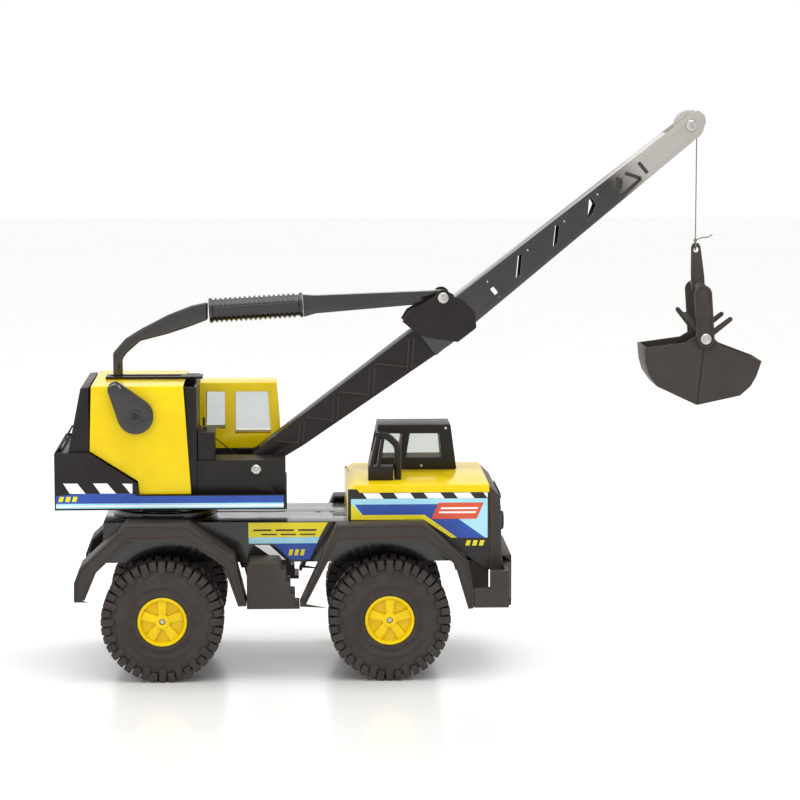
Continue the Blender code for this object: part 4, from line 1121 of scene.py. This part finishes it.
# The cord's end is looped through the eye of the bucket's bow below the knot.
bpy.ops.object.select_all(action="DESELECT")
bpy.ops.mesh.primitive_torus_add(
    major_segments=32,
    minor_segments=10,
    major_radius=0.0032,
    minor_radius=0.0006,
    location=(line_x, 0, 0.4160),
    rotation=(0, math.pi / 2, 0),
)
loop = bpy.context.active_object
loop.name = "cord_loop"
bpy.ops.object.transform_apply(location=True, rotation=True, scale=True)
bpy.ops.object.mode_set(mode="EDIT")
bpy.ops.mesh.select_all(action="SELECT")
bpy.ops.transform.resize(value=(1, 1, 1.45), center_override=(line_x, 0, 0.4160))
bpy.ops.object.mode_set(mode="OBJECT")
bpy.ops.object.shade_smooth()
dress(loop, cord_fibre, "hanger")

# ---------------------------------------------------------------- bucket
# A clamshell bucket moulded in the dark dull plastic of the arches: two jaws on one plated pin
# under a bow, with a round-ended arm down each side. Each arm has a cross inside its rim.
pressed("bucket_hanger", 0.5, dark_plastic)
for side, way in (("right", -1), ("left", 1)):
    arm = pressed(f"bucket_arm_{side}", 0.6, dark_plastic)
    faces_towards(arm, (0, way, 0), 0.0345)
    bpy.ops.mesh.inset(thickness=0.0014, depth=0.0)
    bpy.ops.mesh.inset(thickness=0.0003, depth=-0.0009)
    bpy.ops.object.mode_set(mode="OBJECT")
    bpy.ops.object.shade_smooth_by_angle(angle=math.radians(32))
    body = nodes[f"bucket_arm_{side}"]["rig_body"]
    for n, (start, end) in enumerate(
        (((0.2822, 0.3695), (0.2964, 0.3365)), ((0.2938, 0.3695), (0.2844, 0.3365)))
    ):
        bar = cut_flat(
            f"arm_cross_{side}_{n}",
            [strip(start, end, 0.0015)],
            way * 0.0339,
            way * (0.0348 + 0.0001 * n),
        )
        dress(bar, dark_plastic, body)
pressed("jaw_rear", 0.8, dark_plastic)
pressed("jaw_front", 0.8, dark_plastic)
pressed("bucket_pin", 1.2, plated_steel, 4)

# ---------------------------------------------------------------- floor, light and camera
# A plain pale floor under soft light from a large overhead source, seen from the truck's right.
pale_floor = finish("pale_floor", "f2f2f0", "f6f6f4", 400, 5, 0.002, (0.18, 0.24))
bpy.ops.mesh.primitive_plane_add(size=12, location=(0, 2, 0))
floor = bpy.context.active_object
floor.name = "studio_floor"
floor.data.materials.append(pale_floor)

world = bpy.data.worlds.new("studio")
bpy.context.scene.world = world
world.use_nodes = True
world.node_tree.nodes["Background"].inputs["Color"].default_value = colour("ffffff")
world.node_tree.nodes["Background"].inputs["Strength"].default_value = 1.0

for name, place, aim, size, power in (
    ("overhead_softbox", (0.0, -0.3, 2.4), (0, 0, 0.2), 2.2, 30),
    ("front_softbox", (-1.4, -2.2, 1.3), (0, 0, 0.2), 1.4, 5),
    ("rim_softbox", (1.6, 0.8, 1.2), (0, 0, 0.3), 1.0, 6),
):
    lamp = bpy.data.lights.new(name, "AREA")
    lamp.shape, lamp.size, lamp.energy = "SQUARE", size, power
    made = bpy.data.objects.new(name, lamp)
    made.location = place
    made.rotation_euler = (Vector(aim) - Vector(place)).to_track_quat("-Z", "Y").to_euler()
    bpy.context.scene.collection.objects.link(made)

camera = bpy.data.cameras.new("studio_camera")
camera.lens, camera.sensor_width = 126.77, 36
made = bpy.data.objects.new("studio_camera", camera)
made.location = (-0.12135, -2.785, 0.5987)
made.rotation_euler = (math.radians(83.12), 0, math.radians(-2.30))
bpy.context.scene.collection.objects.link(made)
bpy.context.scene.camera = made

bpy.context.scene.view_settings.view_transform = "Standard"
